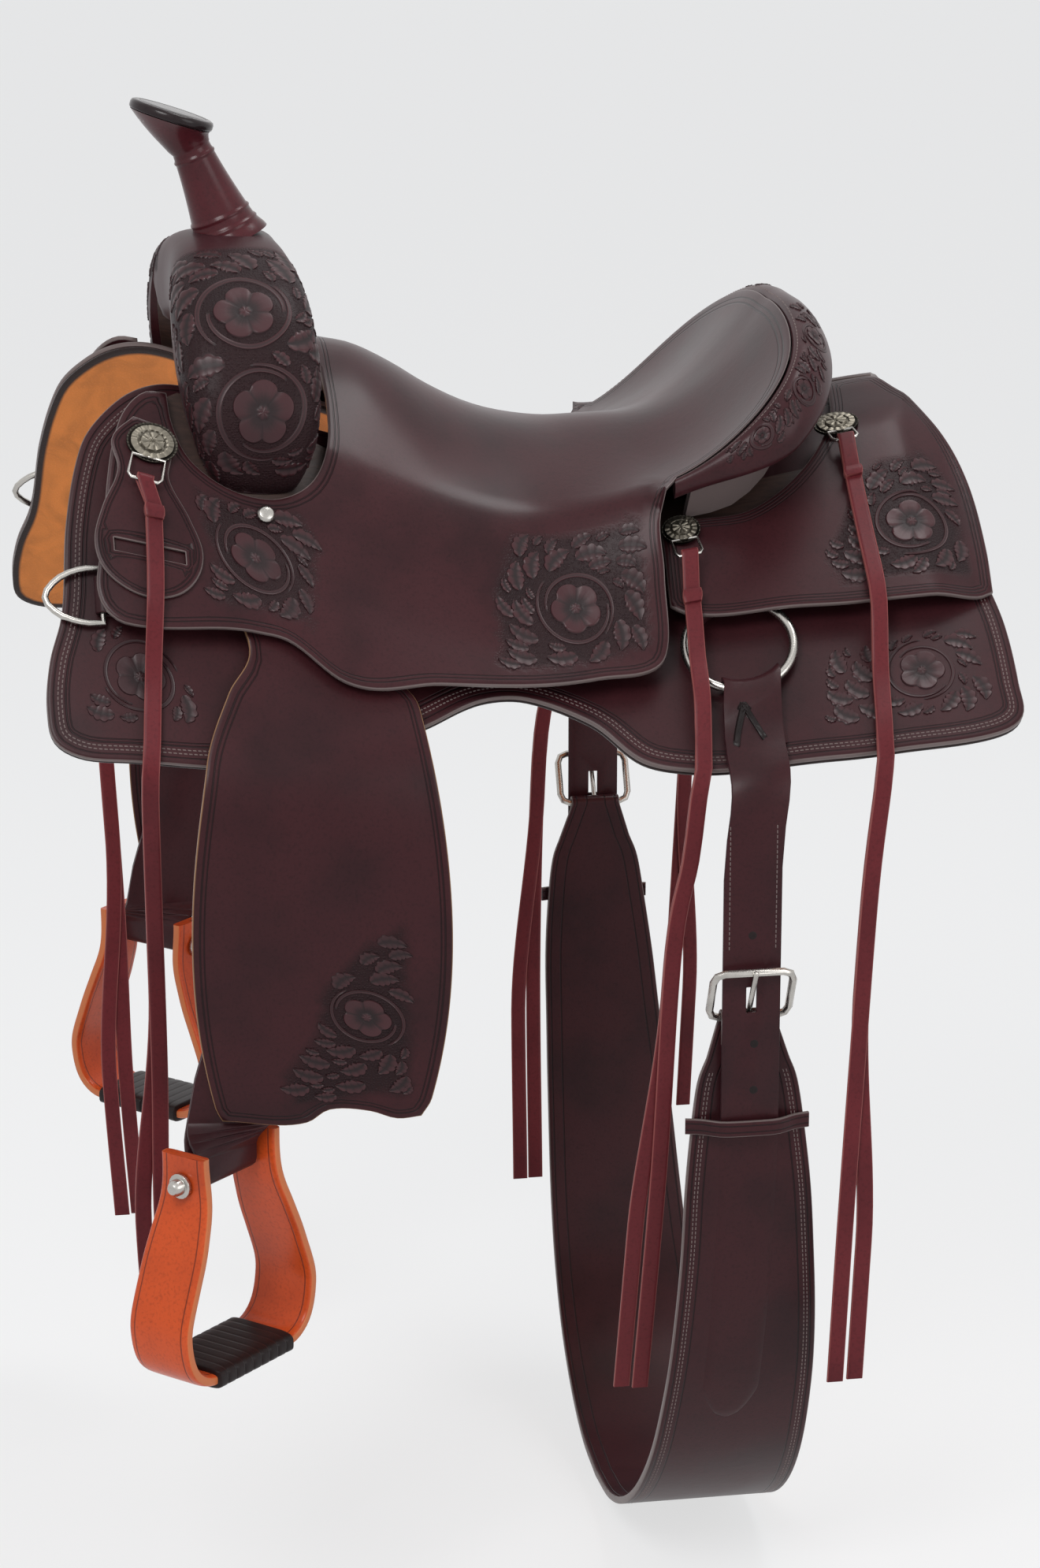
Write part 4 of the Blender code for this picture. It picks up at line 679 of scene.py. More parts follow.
def fine_sheet(outline, floor, top, place, cell=0.009, step=0.006, holes=(), zones=(), insets=EDGE_INSETS):
    """A closed leather sheet with rounded edges. Its points know their distance from the edge and their zone."""
    rings = [rounded(outline, step), *[np.array(hole, float) for hole in holes]]
    border = rings[0]
    points = list(np.concatenate(rings))
    edges = []
    start = 0
    for ring in rings:
        edges += [(start + i, start + (i + 1) % len(ring)) for i in range(len(ring))]
        start += len(ring)
    for inset in insets:
        ring = inset_ring(border, inset)
        points += list(ring[:: 1 if inset < 0.004 else 2])
    xs = np.arange(border[:, 0].min(), border[:, 0].max(), cell)
    ss = np.arange(border[:, 1].min(), border[:, 1].max(), 0.87 * cell)
    spots = np.array([(x + (0.5 * cell if k % 2 else 0.0), s) for k, s in enumerate(ss) for x in xs])
    spots = spots[within(spots, border)]
    spots = spots[distance_to(spots, border) > insets[-1] + 0.45 * cell]
    for hole in rings[1:]:
        spots = spots[~within(spots, hole) & (distance_to(spots, hole) > 0.3 * cell)]
    points += list(spots)
    found = delaunay_2d_cdt([Vector(p) for p in points], edges, [], 0, 1e-7)
    flat = np.array([tuple(v) for v in found[0]])
    faces = np.array([f for f in found[2] if len(f) == 3])
    corners = flat[faces]
    u, v = corners[:, 1] - corners[:, 0], corners[:, 2] - corners[:, 0]
    kept = np.abs(u[:, 0] * v[:, 1] - u[:, 1] * v[:, 0]) > 1e-10
    middles = corners.mean(axis=1)
    kept &= within(middles, border)
    for hole in rings[1:]:
        kept &= ~within(middles, hole)
    faces = faces[kept]
    edge = distance_to(flat, border)
    for hole in rings[1:]:
        edge = np.minimum(edge, distance_to(flat, hole))
    edge[edge < 1e-6] = 0.0
    round_off = np.where(edge == 0.0, RIM_ROUND, 0.0)
    x, s = flat[:, 0], flat[:, 1]
    low = floor(x, s) if callable(floor) else np.full(len(x), floor)
    high = top(x, s) if callable(top) else np.full(len(x), top)
    upper = place(x, s, high - round_off)
    lower = place(x, s, low + round_off)
    count = len(flat)
    used = {(f[i], f[(i + 1) % 3]) for f in faces.tolist() for i in range(3)}
    walls = [(a + count, b + count, b, a) for a, b in used if (b, a) not in used]
    top_faces = [tuple(f) for f in faces.tolist()]
    low_faces = [tuple(i + count for i in reversed(f)) for f in top_faces]
    mesh = bpy.data.meshes.new("sheet")
    mesh.from_pydata([tuple(p) for p in np.concatenate([upper, lower])], [], top_faces + low_faces + walls)
    zone = np.zeros(count)
    for outline_of_zone in zones:
        ring = np.array(outline_of_zone, float)
        zone = np.maximum(zone, within(flat, ring) * np.clip(distance_to(flat, ring) / 0.004, 0, 1))
    point_values(mesh, "edge", np.concatenate([edge, edge]))
    point_values(mesh, "zone", np.concatenate([zone, zone]))
    face_outwards(mesh)
    return mesh


def flower(shape, place, a, b, radius, turn=0.0, rise=0.0013):
    """A carved flower: five cupped petals with veins round a beaded middle."""
    rows = np.array([0.0, 0.09, 0.16, 0.20, 0.24, 0.30, 0.40, 0.50, 0.60, 0.70, 0.80, 0.88, 0.95, 1.0])[:, None]
    angles = np.linspace(0, math.tau, 60, endpoint=False)[None, :]
    petal = np.abs(np.cos(2.5 * (angles - turn)))
    outline = np.where(rows < 0.25, 1.0, 0.74 + 0.26 * petal**0.55)
    middle = 0.8 * np.sqrt(np.clip(1 - (rows / 0.21) ** 2, 0, 1)) + 0.12 * np.sin(7 * angles) * (rows > 0.05)
    cup = 0.30 + 0.62 * ease((rows - 0.28) / 0.5)
    veins = 0.16 * np.abs(np.sin(12.5 * (angles - turn))) ** 0.6 * (rows < 0.86)
    height = (cup - veins) * (0.35 + 0.65 * np.clip(2.4 * petal, 0, 1))
    height = np.where(rows < 0.21, middle, np.where(rows < 0.27, 0.05, height))
    height = np.where(rows > 0.98, -0.18, height)
    far = rows * outline * radius
    points = place(a + far * np.cos(angles), b + far * np.sin(angles), height * rise)
    shape.grid(points.reshape(len(rows), -1, 3), np.clip(height, 0, 1), wrap=True)


def leaf(shape, place, a, b, angle, length, width, bend=0.8, rise=0.0011):
    """A carved leaf: raised scalloped sides that fall to a vein, along a curved middle line."""
    t = np.linspace(0, 1, 25)
    heading = angle + bend * (t - 0.5)
    x = np.cumsum(np.cos(heading)) * length / len(t)
    y = np.cumsum(np.sin(heading)) * length / len(t)
    x, y = a + x - x.mean(), b + y - y.mean()
    lobes = np.abs(np.sin(4.5 * np.pi * t))
    half = 0.5 * width * np.sin(np.pi * t**0.8) ** 0.8 * (0.80 + 0.36 * lobes**0.7) + 0.0002
    across = np.array([-1, -0.85, -0.60, -0.30, 0.0, 0.30, 0.60, 0.85, 1])
    height = np.array([-0.15, 0.90, 0.78, 0.52, 0.08, 0.52, 0.78, 0.90, -0.15])[None, :] * np.ones(len(t))[:, None]
    height -= 0.42 * (1 - lobes[:, None]) ** 2 * (np.abs(across) > 0.2) * (np.abs(across) < 0.9)
    height[[0, -1]] = -0.15
    px = x[:, None] - np.sin(heading)[:, None] * half[:, None] * across
    py = y[:, None] + np.cos(heading)[:, None] * half[:, None] * across
    shape.grid(place(px, py, height * rise).reshape(len(t), 9, 3), np.clip(height, 0, 1))


def stem(shape, place, path, widths, rise=0.0010):
    """A raised round-edged band along a path of flat places, as a carver's scroll."""
    path = np.asarray(path, float)
    ahead = directions(path)
    across = np.array([-1, -0.7, 0.0, 0.7, 1])
    height = np.array([-0.2, 0.8, 0.35, 0.8, -0.2])[None, :] * np.ones(len(path))[:, None]
    height[[0, -1]] = -0.2
    half = 0.5 * np.asarray(widths, float)[:, None] * across
    px = path[:, :1] - ahead[:, 1:] * half
    py = path[:, 1:] + ahead[:, :1] * half
    shape.grid(place(px, py, height * rise).reshape(len(path), 5, 3), np.clip(height, 0, 1))


def swirl(shape, place, a, b, radius, turn):
    """Two scrolls that wind outwards round a flower, each ending in a curl."""
    t = np.linspace(0, 1, 34)
    for start, reach in ((turn, 1.12), (turn + math.pi, 1.20)):
        angles = start + t * math.radians(235)
        far = radius * (reach + 0.32 * t)
        widths = 0.0036 * np.sin(np.pi * (0.12 + 0.80 * t)) ** 0.6
        stem(shape, place, np.stack([a + far * np.cos(angles), b + far * np.sin(angles)], axis=-1), widths)


def foliage(shape, place, zone, flowers, seed, size=0.023, count=1600):
    """Fills a zone round its flowers with leaves that sweep about the nearest one."""
    chooser = random.Random(seed)
    ring = np.array(zone, float)
    taken = np.zeros((0, 3))
    for a, b, radius in flowers:
        turn = chooser.uniform(0, math.tau)
        flower(shape, place, a, b, radius, turn)
        swirl(shape, place, a, b, radius, turn)
        taken = np.append(taken, [(a, b, 1.50 * radius)], axis=0)
    low, high = ring.min(axis=0), ring.max(axis=0)
    spots = np.array([(chooser.uniform(low[0], high[0]), chooser.uniform(low[1], high[1])) for _ in range(count)])
    kept = within(spots, ring)
    room = distance_to(spots, ring)
    for k, (a, b) in enumerate(spots.tolist()):
        long = size * (1.10 - 0.66 * k / count)
        if not kept[k] or room[k] < 0.28 * long:
            continue
        x, y, _ = min(flowers, key=lambda f: math.hypot(a - f[0], b - f[1]))
        angle = math.atan2(b - y, a - x) + 0.95 + chooser.uniform(-0.25, 0.25)
        trio = np.array([
            (a + t * long * math.cos(angle), b + t * long * math.sin(angle), 0.19 * long) for t in (-0.32, 0.0, 0.32)
        ])
        apart = np.linalg.norm(trio[:, None, :2] - taken[None, :, :2], axis=2)
        if (apart < trio[:, None, 2] + taken[None, :, 2]).any():
            continue
        leaf(shape, place, a, b, angle, long, 0.50 * long, bend=chooser.choice((0.9, 1.3)))
        taken = np.append(taken, trio, axis=0)


def stitches(shape, place, path, pitch=0.0038, length=0.0028, width=0.0010, rise=0.0005):
    """A row of small rounded stitches along a path of flat places."""
    path = np.asarray(path, float)
    lengths = np.concatenate([[0], np.cumsum(np.linalg.norm(np.diff(path, axis=0), axis=1))])
    at = np.arange(0.5 * pitch, lengths[-1], pitch)
    if not len(at):
        return
    x, s = (np.interp(at, lengths, path[:, k]) for k in (0, 1))
    x2, s2 = (np.interp(at + 0.001, lengths, path[:, k]) for k in (0, 1))
    heading = np.arctan2(s2 - s, x2 - x)
    for a, b, angle in zip(x, s, heading):
        u = np.array([-0.5, -0.32, 0.0, 0.32, 0.5])[:, None]
        v = np.array([-0.5, -0.3, 0.0, 0.3, 0.5])[None, :]
        body = np.clip(1 - (2 * u) ** 4, 0, 1) * np.clip(1 - (2 * v) ** 2, 0, 1)
        px = a + length * u * math.cos(angle) - width * v * math.sin(angle)
        py = b + length * u * math.sin(angle) + width * v * math.cos(angle)
        shape.grid(place(px, py, rise * (body - 0.2)).reshape(5, 5, 3), body)


def run_of(border, inset, first=0.0, last=1.0):
    """A stretch of the line at a distance inside an outline, from one share of its length to another."""
    ring = inset_ring(border, inset)
    count = len(ring)
    return np.array([ring[i % count] for i in range(int(first * count), int(last * count) + 1)])


def on_top(top):
    """A place function for what lies on a layer."""
    def place(a, b, lift):
        a, b, lift = arrays(a, b, lift)
        return panel(a, b, lift + (top(a, b) if callable(top) else top))

    return place


def carved_leather(name, colour, dark):
    """Leather raised by carving: dark in its hollows and burnished on its high places."""
    made, tree, shader = principled(name)
    grain = use_group(tree, grain_group, {"Vector": object_place(tree), "Size": 1.0})
    rise = attribute(tree, "rise")
    tone = mix(tree, between(tree, rise, 0.1, 0.9), darker(dark, 0.5), colour)
    fill(tree, shader, {
        "Base Color": mix(tree, between(tree, grain["Mottle"], 0.35, 0.7, 0.0, 0.5), tone, dark),
        "Roughness": between(tree, rise, 0.2, 1.0, 0.62, 0.36), "Normal": bump(tree, grain["Height"], 0.0003, 0.7),
        "Specular IOR Level": 0.3, "Coat Weight": 0.08, "Coat Roughness": 0.25,
    })
    return made


SUEDE_EDGE_DYE = (0.02, 0.011, 0.010)


def suede(name, colour):
    """Brushed split leather: a soft nap with lighter and darker strokes."""
    made, tree, shader = principled(name)
    place = object_place(tree)
    nap = node(tree, "TexNoise", {"Vector": place, "Scale": 700.0, "Detail": 3.0})
    strokes = node(tree, "TexNoise", {"Vector": place, "Scale": 26.0, "Detail": 4.0, "Distortion": 1.2})
    tone = mix(tree, between(tree, strokes, 0.3, 0.7), darker(colour, 0.72), colour)
    tone = mix(tree, between(tree, nap, 0.5, 0.8, 0.0, 0.3), tone, tuple(min(1.0, 1.25 * c) for c in colour))
    dyed = between(tree, attribute(tree, "edge"), 0.004, 0.007, 1.0, 0.0)
    fill(tree, shader, {
        "Base Color": mix(tree, dyed, tone, SUEDE_EDGE_DYE), "Roughness": 0.95, "Sheen Weight": 0.6,
        "Sheen Roughness": 0.4, "Normal": bump(tree, nap, 0.0006, 0.5),
    })
    return made


def carve(name, place, beds, body="saddle", **sizes):
    """Beds of carved foliage, each with its zone, its flowers and a seed."""
    shape = Shape()
    for zone, flowers, seed in beds:
        foliage(shape, place, zone, flowers, seed, **sizes)
    shape.finish(name, carving, body, value="rise", recalc=False)


def sew(name, place, paths, body="saddle", **sizes):
    """Rows of stitches along paths of flat places."""
    shape = Shape()
    for path in paths:
        stitches(shape, place, path, **sizes)
    shape.finish(name, thread, body, value="rise", recalc=False)


skirt_leather = leather(
    "skirting_leather", BROWN, DARK, 0.40, lines=((0.0048, 0.0005), (0.0135, 0.0007), (0.0160, 0.0005)),
    stamped=True,
)
carving = carved_leather("carved_leather", (0.046, 0.0108, 0.0135), DARK)
thread = leather("stitch_thread", (0.11, 0.055, 0.045), (0.045, 0.022, 0.020), 0.6, coat=0.0)
lining_suede = suede("lining_suede", (0.72, 0.235, 0.045))
skirt_mesh = fine_sheet(SKIRT_OUTLINE, SKIRT_FLOOR, SKIRT_TOP, panel)
add("skirt_leather_left", skirt_mesh, skirt_leather, "saddle", ["skirt_left"])
lining_mesh = fine_sheet(SKIRT_OUTLINE, 0.0, LINING, panel, cell=0.014)
add("suede_lining_left", lining_mesh, lining_suede, "saddle", ["lining_left"])

SKIRT_STITCH_ROWS = (0.0080, 0.0108)
SKIRT_STITCH_RUN = (0.02, 0.74)
skirt_place = on_top(SKIRT_TOP)
skirt_border = rounded(SKIRT_OUTLINE, 0.006)
sew("skirt_stitching_left", skirt_place, [
    run_of(skirt_border, inset, *SKIRT_STITCH_RUN) for inset in SKIRT_STITCH_ROWS
])
SKIRT_BEDS = (
    (((0.205, 0.262), (0.318, 0.256), (0.322, 0.318), (0.312, 0.332), (0.205, 0.334), (0.188, 0.320)),
     ((0.272, 0.293, 0.0180),), 5),
    (((-0.338, 0.325), (-0.300, 0.328), (-0.270, 0.345), (-0.262, 0.385), (-0.300, 0.400), (-0.345, 0.398)),
     ((-0.306, 0.363, 0.0190),), 6),
)
carve("skirt_carving_left", skirt_place, SKIRT_BEDS)


# Seat and side jockeys: one hide of glossy leather stretched over the ground seat, with a carved jockey on
# each side below the rider's thigh, and double lines tooled inside its cut edge.

SEAT_FRONT = [
    (-0.150, 0.0), (-0.151, 0.045), (-0.151, 0.085), (-0.155, 0.124), (-0.168, 0.160),
    (-0.186, 0.182), (-0.205, 0.194), (-0.236, 0.199), (-0.260, 0.189), (-0.271, 0.167),
    (-0.274, 0.142), (-0.289, 0.146), (-0.305, 0.163), (-0.315, 0.187), (-0.321, 0.215),
    (-0.326, 0.250), (-0.331, 0.280), (-0.334, 0.304), (-0.329, 0.320), (-0.316, 0.330),
    (-0.219, 0.306), (-0.199, 0.303), (-0.158, 0.318), (-0.088, 0.289), (0.031, 0.261),
    (0.074, 0.256), (0.083, 0.246), (0.087, 0.190), (0.0875, 0.150),
]
JOCKEY_BEDS = (
    (((-0.262, 0.212), (-0.215, 0.207), (-0.180, 0.192), (-0.168, 0.215), (-0.180, 0.285), (-0.215, 0.288),
      (-0.262, 0.300), (-0.246, 0.262)),
     ((-0.217, 0.247, 0.0190),), 11),
    (((-0.020, 0.150), (0.073, 0.150), (0.073, 0.240), (0.025, 0.248), (-0.040, 0.262), (-0.040, 0.190)),
     ((0.020, 0.205, 0.0195),), 12),
)
seat_half = SEAT_FRONT + [rim_point(math.radians(t)) for t in range(86, -1, -6)]
seat_outline = seat_half[:-1] + [rim_point(0.0)] + [(x, -s) for x, s in reversed(seat_half[1:-1])]
seat_leather = leather(
    "seat_leather", (0.041, 0.0096, 0.0120), DARK, 0.34, lines=((0.0048, 0.0005), (0.0075, 0.0005)), stamped=True,
    coat=0.4,
)
zones = [zone for zone, _, _ in JOCKEY_BEDS]
zones += [[(x, -s) for x, s in reversed(zone)] for zone in zones]
seat_mesh = fine_sheet(seat_outline, lambda x, s: seat_lift(x, s) - SEAT_LEATHER, seat_lift, panel, zones=zones)
add("seat_hide", seat_mesh, seat_leather, "saddle", ["seat_and_side_jockeys"])
carve("jockey_carving_left", on_top(seat_lift), JOCKEY_BEDS)


# Rear jockeys: two leaves of leather behind the cantle, laid over the skirts and held by the conchos, with
# a triple tooled border and a bed of carved foliage toward the rear corner.

REAR_JOCKEY_OUTLINE = [
    (0.0935, 0.201), (0.104, 0.209), (0.180, 0.225), (0.239, 0.235), (0.325, 0.236),
    (0.339, 0.230), (0.342, 0.189), (0.340, 0.120), (0.329, 0.072), (0.303, 0.025),
    (0.294, 0.003), (0.256, 0.003), (0.242, 0.060), (0.214, 0.100), (0.176, 0.126),
    (0.130, 0.133), (0.094, 0.134),
]
REAR_ZONE = (
    (0.262, 0.112), (0.312, 0.100), (0.325, 0.125), (0.327, 0.218), (0.225, 0.219), (0.210, 0.190),
    (0.232, 0.160),
)
REAR_FLOWERS = ((0.284, 0.170, 0.0205),)
jockey_leather = leather(
    "jockey_leather", BROWN, DARK, 0.40, lines=((0.0035, 0.0005), (0.0062, 0.0005), (0.0088, 0.0005)),
    stamped=True,
)


def rear_jockey_top(x, s):
    return rear_jockey_floor(x, s) + JOCKEY


mesh = fine_sheet(REAR_JOCKEY_OUTLINE, rear_jockey_floor, rear_jockey_top, panel, zones=[REAR_ZONE])
add("rear_jockey_leather_left", mesh, jockey_leather, "saddle", ["rear_jockey_left"])
carve("rear_jockey_carving_left", on_top(rear_jockey_top), [(REAR_ZONE, REAR_FLOWERS, 21)])


# Breast collar keepers: small leaves of skirting leather, slotted for the collar's strap. Each has two lines
# tooled inside its edge and is held down by the front concho.

KEEPER_OUTLINE = [
    (-0.300, 0.170), (-0.317, 0.190), (-0.314, 0.212), (-0.327, 0.243), (-0.334, 0.268),
    (-0.330, 0.288), (-0.316, 0.303), (-0.298, 0.309), (-0.278, 0.303), (-0.262, 0.285),
    (-0.256, 0.262), (-0.264, 0.238), (-0.277, 0.212), (-0.274, 0.190), (-0.284, 0.172),
]
KEEPER_SLOT = [(-0.320, 0.266), (-0.320, 0.276), (-0.269, 0.276), (-0.269, 0.266)]
mesh = fine_sheet(
    KEEPER_OUTLINE, keeper_floor, lambda x, s: keeper_floor(x, s) + KEEPER, panel, cell=0.007, step=0.004,
    holes=[KEEPER_SLOT], insets=(RIM_ROUND, 0.003, 0.006),
)
keeper_leather = leather("keeper_leather", BROWN, DARK, 0.40, lines=((0.0030, 0.0005), (0.0052, 0.0005)))
add("breast_collar_keeper_leather_left", mesh, keeper_leather, "saddle", ["breast_collar_keeper_left"])


# Fenders: long leaves of leather that hang over the stirrup leathers, creased twice inside the edge, with a
# carved corner near the stirrup.

FENDER = 0.005
FENDER_FLOOR = 0.0135
FENDER_PIVOT = (-0.225, 0.2535)
FENDER_NECK = 0.030
FENDER_PLANE = 0.283
FENDER_BEND = 0.004


def fender_edge(x):
    """Where the fender leaves the skirt's lower edge."""
    return np.interp(x, (-0.264, -0.172, -0.100), (0.420, 0.375, 0.317)) + FENDER_BEND


def hung(x, lift, edge, plane, middle, drop):
    """Places on near leather that leaves the panel at an edge and bends until it hangs in a plane."""
    x, lift, edge, drop = arrays(x, lift, edge, drop)
    start = panel(x, edge, middle)
    angle = lean_at(x, edge)
    ratio = np.cos(angle) / np.sin(angle)
    room = plane - np.abs(start[:, 1])
    lean = room * np.exp(-drop * ratio / room)
    out = unit_rows(np.stack([np.zeros(len(x)), -np.ones(len(x)), ratio * lean / room], axis=-1))
    return np.stack([x, lean - plane, start[:, 2] - drop], axis=-1) + (lift - middle)[:, None] * out


def fender_place(x, v, lift):
    """A place on the near fender: v is the distance from the ridge, on past the skirt's edge."""
    x, v, lift = arrays(x, v, lift)
    edge = fender_edge(x)
    drop = (v - edge) * np.sin(lean_at(x, edge))
    free = hung(x, lift, edge, FENDER_PLANE, FENDER_FLOOR + 0.5 * FENDER, np.maximum(drop, 0.0))
    return np.where((v <= edge)[:, None], panel(x, v, lift), free)


def fender_v(x, z):
    """The distance from the ridge at which the hanging fender reaches a height."""
    edge = fender_edge(x)
    start = panel(x, edge, FENDER_FLOOR + 0.5 * FENDER)[0]
    return float(edge + (start[2] - z) / np.sin(lean_at(x, edge)))


FENDER_FOOT = (
    # x and z, from the rear edge round the lower end to the front edge
    (-0.104, -0.372), (-0.112, -0.385), (-0.130, -0.386), (-0.150, -0.379), (-0.180, -0.376),
    (-0.197, -0.385), (-0.259, -0.380), (-0.264, -0.370),
)
FENDER_CORNER = (
    (-0.150, -0.250), (-0.120, -0.236), (-0.118, -0.370), (-0.140, -0.366), (-0.206, -0.372), (-0.216, -0.350),
    (-0.190, -0.320), (-0.186, -0.280),
)
fender_outline = []
for turn in range(180, -1, -20):
    angle = math.radians(turn)
    fender_outline.append((
        FENDER_PIVOT[0] + FENDER_NECK * math.cos(angle), FENDER_PIVOT[1] - FENDER_NECK * math.sin(angle),
    ))
fender_outline += [(-0.140, 0.285), (-0.108, 0.300), (-0.103, 0.318)]
fender_outline += [(x, fender_v(x, z)) for x, z in FENDER_FOOT]
fender_outline += [(-0.264, 0.424), (-0.244, 0.360), (-0.226, 0.316)]
FENDER_ZONE = [(x, fender_v(x, z)) for x, z in FENDER_CORNER]
FENDER_FLOWER = (-0.152, fender_v(-0.152, -0.306), 0.0190)
fender_leather = leather(
    "fender_leather", BROWN, DARK, 0.38, lines=((0.0055, 0.0007), (0.0085, 0.0005)), worn=(0.36, 0.20, 0.10),
    stamped=True,
)
mesh = fine_sheet(fender_outline, FENDER_FLOOR, FENDER_FLOOR + FENDER, fender_place, zones=[FENDER_ZONE])
add("fender_leather_left", mesh, fender_leather, "fender_assembly_left", ["fender_left"])
carve(
    "fender_carving_left", lambda a, b, lift: fender_place(a, b, FENDER_FLOOR + FENDER + np.asarray(lift)),
    [(FENDER_ZONE, [FENDER_FLOWER], 31)], "fender_assembly_left",
)


# Cantle: the seat ends at the cantle in a thick rolled rim of leather, flat toward its ends. The roll is
# stitched along its inner edge where it meets the seat, and carved with small flowers.

ROLL_REACH = 0.28
ROLL_END_SHARE = 0.3
ROLL_THICKNESS = 0.010
ROLL_LIFT = 0.002
ROLL_SWELL = 0.010
ROLL_DROP = 0.018
ROLL_TURN = 87.0
ROLL_FADE_START = 50
ROLL_INNER = 0.01
ROLL_ROUNDNESS = 0.75
ROLL_LENGTH_A_TURN = 0.15
ROLL_WIDTH = 0.042
ROLL_STITCH_HALF = 0.215
ROLL_STITCH_INSET = 0.0045
ROLL_ZONE = ((0.012, 0.008), (0.150, 0.008), (0.192, 0.010), (0.192, 0.030), (0.150, 0.035), (0.012, 0.035))
ROLL_FLOWERS = ((0.045, 0.022, 0.0080), (0.105, 0.022, 0.0080), (0.160, 0.021, 0.0070))


def signed_power(values, power):
    """A power that keeps the sign, which squares off the round of a section."""
    return np.sign(values) * np.abs(values) ** power


def roll_at(turn, out):
    """x, s and the rise of the roll's top, at an angle round the rim and a share of its width."""
    fade = ease((np.abs(np.degrees(turn)) - ROLL_FADE_START) / (ROLL_TURN - ROLL_FADE_START))
    share = 1 - (1 - ROLL_END_SHARE) * fade
    x, s = rim_point(turn, 1.0 + ROLL_INNER + (ROLL_REACH * share - ROLL_INNER) * out)
    rise = rim_lift(*rim_point(turn)) + ROLL_LIFT
    return x, s, rise + share * (ROLL_SWELL * out - (ROLL_DROP + 0.012) * out**2)


def roll_place(a, b, lift):
    """A place on the roll's upper face: a runs along the rim from its middle, b from its inner edge outwards."""
    a, b, lift = arrays(a, b, lift)
    out = b / ROLL_WIDTH
    x, s, rise = roll_at(a / ROLL_LENGTH_A_TURN, out)
    swell = np.clip(1 - np.abs(2 * out - 1) ** 2.67, 0, 1) ** 0.375
    return panel(x, s, rise - 0.5 * ROLL_THICKNESS * (1 - swell) + lift)


sections = np.linspace(0, math.tau, 28, endpoint=False)
roll_rings = []
for turn in np.radians(np.linspace(-ROLL_TURN, ROLL_TURN, 121)):
    x, s, rise = roll_at(turn, 0.5 * (1 + signed_power(np.cos(sections), ROLL_ROUNDNESS)))
    thick = 0.5 * ROLL_THICKNESS * signed_power(np.sin(sections), ROLL_ROUNDNESS)
    roll_rings.append(panel(x, s, rise - 0.5 * ROLL_THICKNESS + thick))
roll_leather = leather("roll_leather", (0.043, 0.0100, 0.0125), DARK, 0.36, coat=0.4, relief=1.4)
closed_skin("cantle_rolled_rim", roll_rings, roll_leather, "saddle", ["cantle_roll"])
carve("cantle_roll_carving_left", roll_place, [(ROLL_ZONE, ROLL_FLOWERS, 51)], size=0.014)
sew("cantle_roll_stitching", roll_place, [
    [(a, ROLL_STITCH_INSET) for a in np.linspace(-ROLL_STITCH_HALF, ROLL_STITCH_HALF, 200)]
])


# Fork: the carved cover over the wooden fork, whose arch bends over the horse's withers. The leather is
# stretched on wet, carved on both sides and left plain over the crest.

FORK_SECTIONS = (
    # half-width y, height z, centre x, half-thickness, half-length in x
    (0.124, 0.058, -0.206, 0.018, 0.024),
    (0.136, 0.082, -0.209, 0.027, 0.039),
    (0.138, 0.112, -0.211, 0.033, 0.048),
    (0.120, 0.148, -0.213, 0.036, 0.052),
    (0.088, 0.176, -0.215, 0.037, 0.051),
    (0.045, 0.192, -0.216, 0.036, 0.047),
    (0.0, 0.197, -0.217, 0.036, 0.044),
)
BAR_TOP = 0.0213
fork_half = [(-y, *rest) for y, *rest in FORK_SECTIONS]
fork_whole = np.array(fork_half + [(-y, *rest) for y, *rest in reversed(fork_half[:-1])])
fork_curves = [curve(range(len(fork_whole)), fork_whole[:, k]) for k in range(5)]
FORK_LENGTH = 0.50
FORK_GIRTH = 0.26
FORK_LEAN_AT = 0.15
FORK_ROWS = 97
FORK_COLUMNS = 72
CARVED_MIDDLE = 0.065
CARVED_HALF = 0.060
BARE_CREST = 0.045
FORK_ZONE = ((0.035, 0.008), (0.120, 0.004), (0.200, 0.010), (0.205, 0.120), (0.120, 0.126), (0.035, 0.118))
FORK_FLOWERS = ((0.085, 0.062, 0.0190), (0.145, 0.066, 0.0180))


def fork_place(a, b, lift):
    """A place on the fork's cover: a runs over the arch from the near foot, b round the bar from its rear face."""
    a, b, lift = arrays(a, b, lift)
    at = a / FORK_LENGTH * (len(fork_whole) - 1)
    y, z, x, thick, long = (f(at) for f in fork_curves)
    y2, z2, x2 = (f(at + 0.02) for f in fork_curves[:3])
    y1, z1, x1 = (f(at - 0.02) for f in fork_curves[:3])
    along = unit_rows(np.stack([x2 - x1, y2 - y1, z2 - z1], axis=-1))
    forward = unit_rows(np.array([1.0, 0, 0]) - along[:, :1] * along)
    out = np.cross(along, forward)
    turn = -b / FORK_GIRTH * math.tau
    square = 0.85 * (np.abs(np.cos(turn)) ** 4 + np.abs(np.sin(turn)) ** 4) ** -0.25 + 0.15
    reach_x = ((long * square + lift) * np.cos(turn))[:, None]
    reach_out = ((thick * square + lift) * np.sin(turn))[:, None]
    point = np.stack([x, y, z], axis=-1) + reach_x * forward + reach_out * out
    base = panel(point[:, 0], np.where(point[:, 1] <= 0, FORK_LEAN_AT, -FORK_LEAN_AT), 0.0)
    angle = lean_at(point[:, 0], FORK_LEAN_AT)
    side = np.where(point[:, 1] <= 0, -1.0, 1.0)
    normal = np.stack([np.zeros(len(a)), side * np.sin(angle), np.cos(angle)], axis=-1)
    above = ((point - base) * normal).sum(axis=1)
    sunk = np.where(np.abs(point[:, 1]) > 0.06, np.maximum(0.0, BAR_TOP + LAYER_GAP - above), 0.0)
    return point + sunk[:, None] * normal


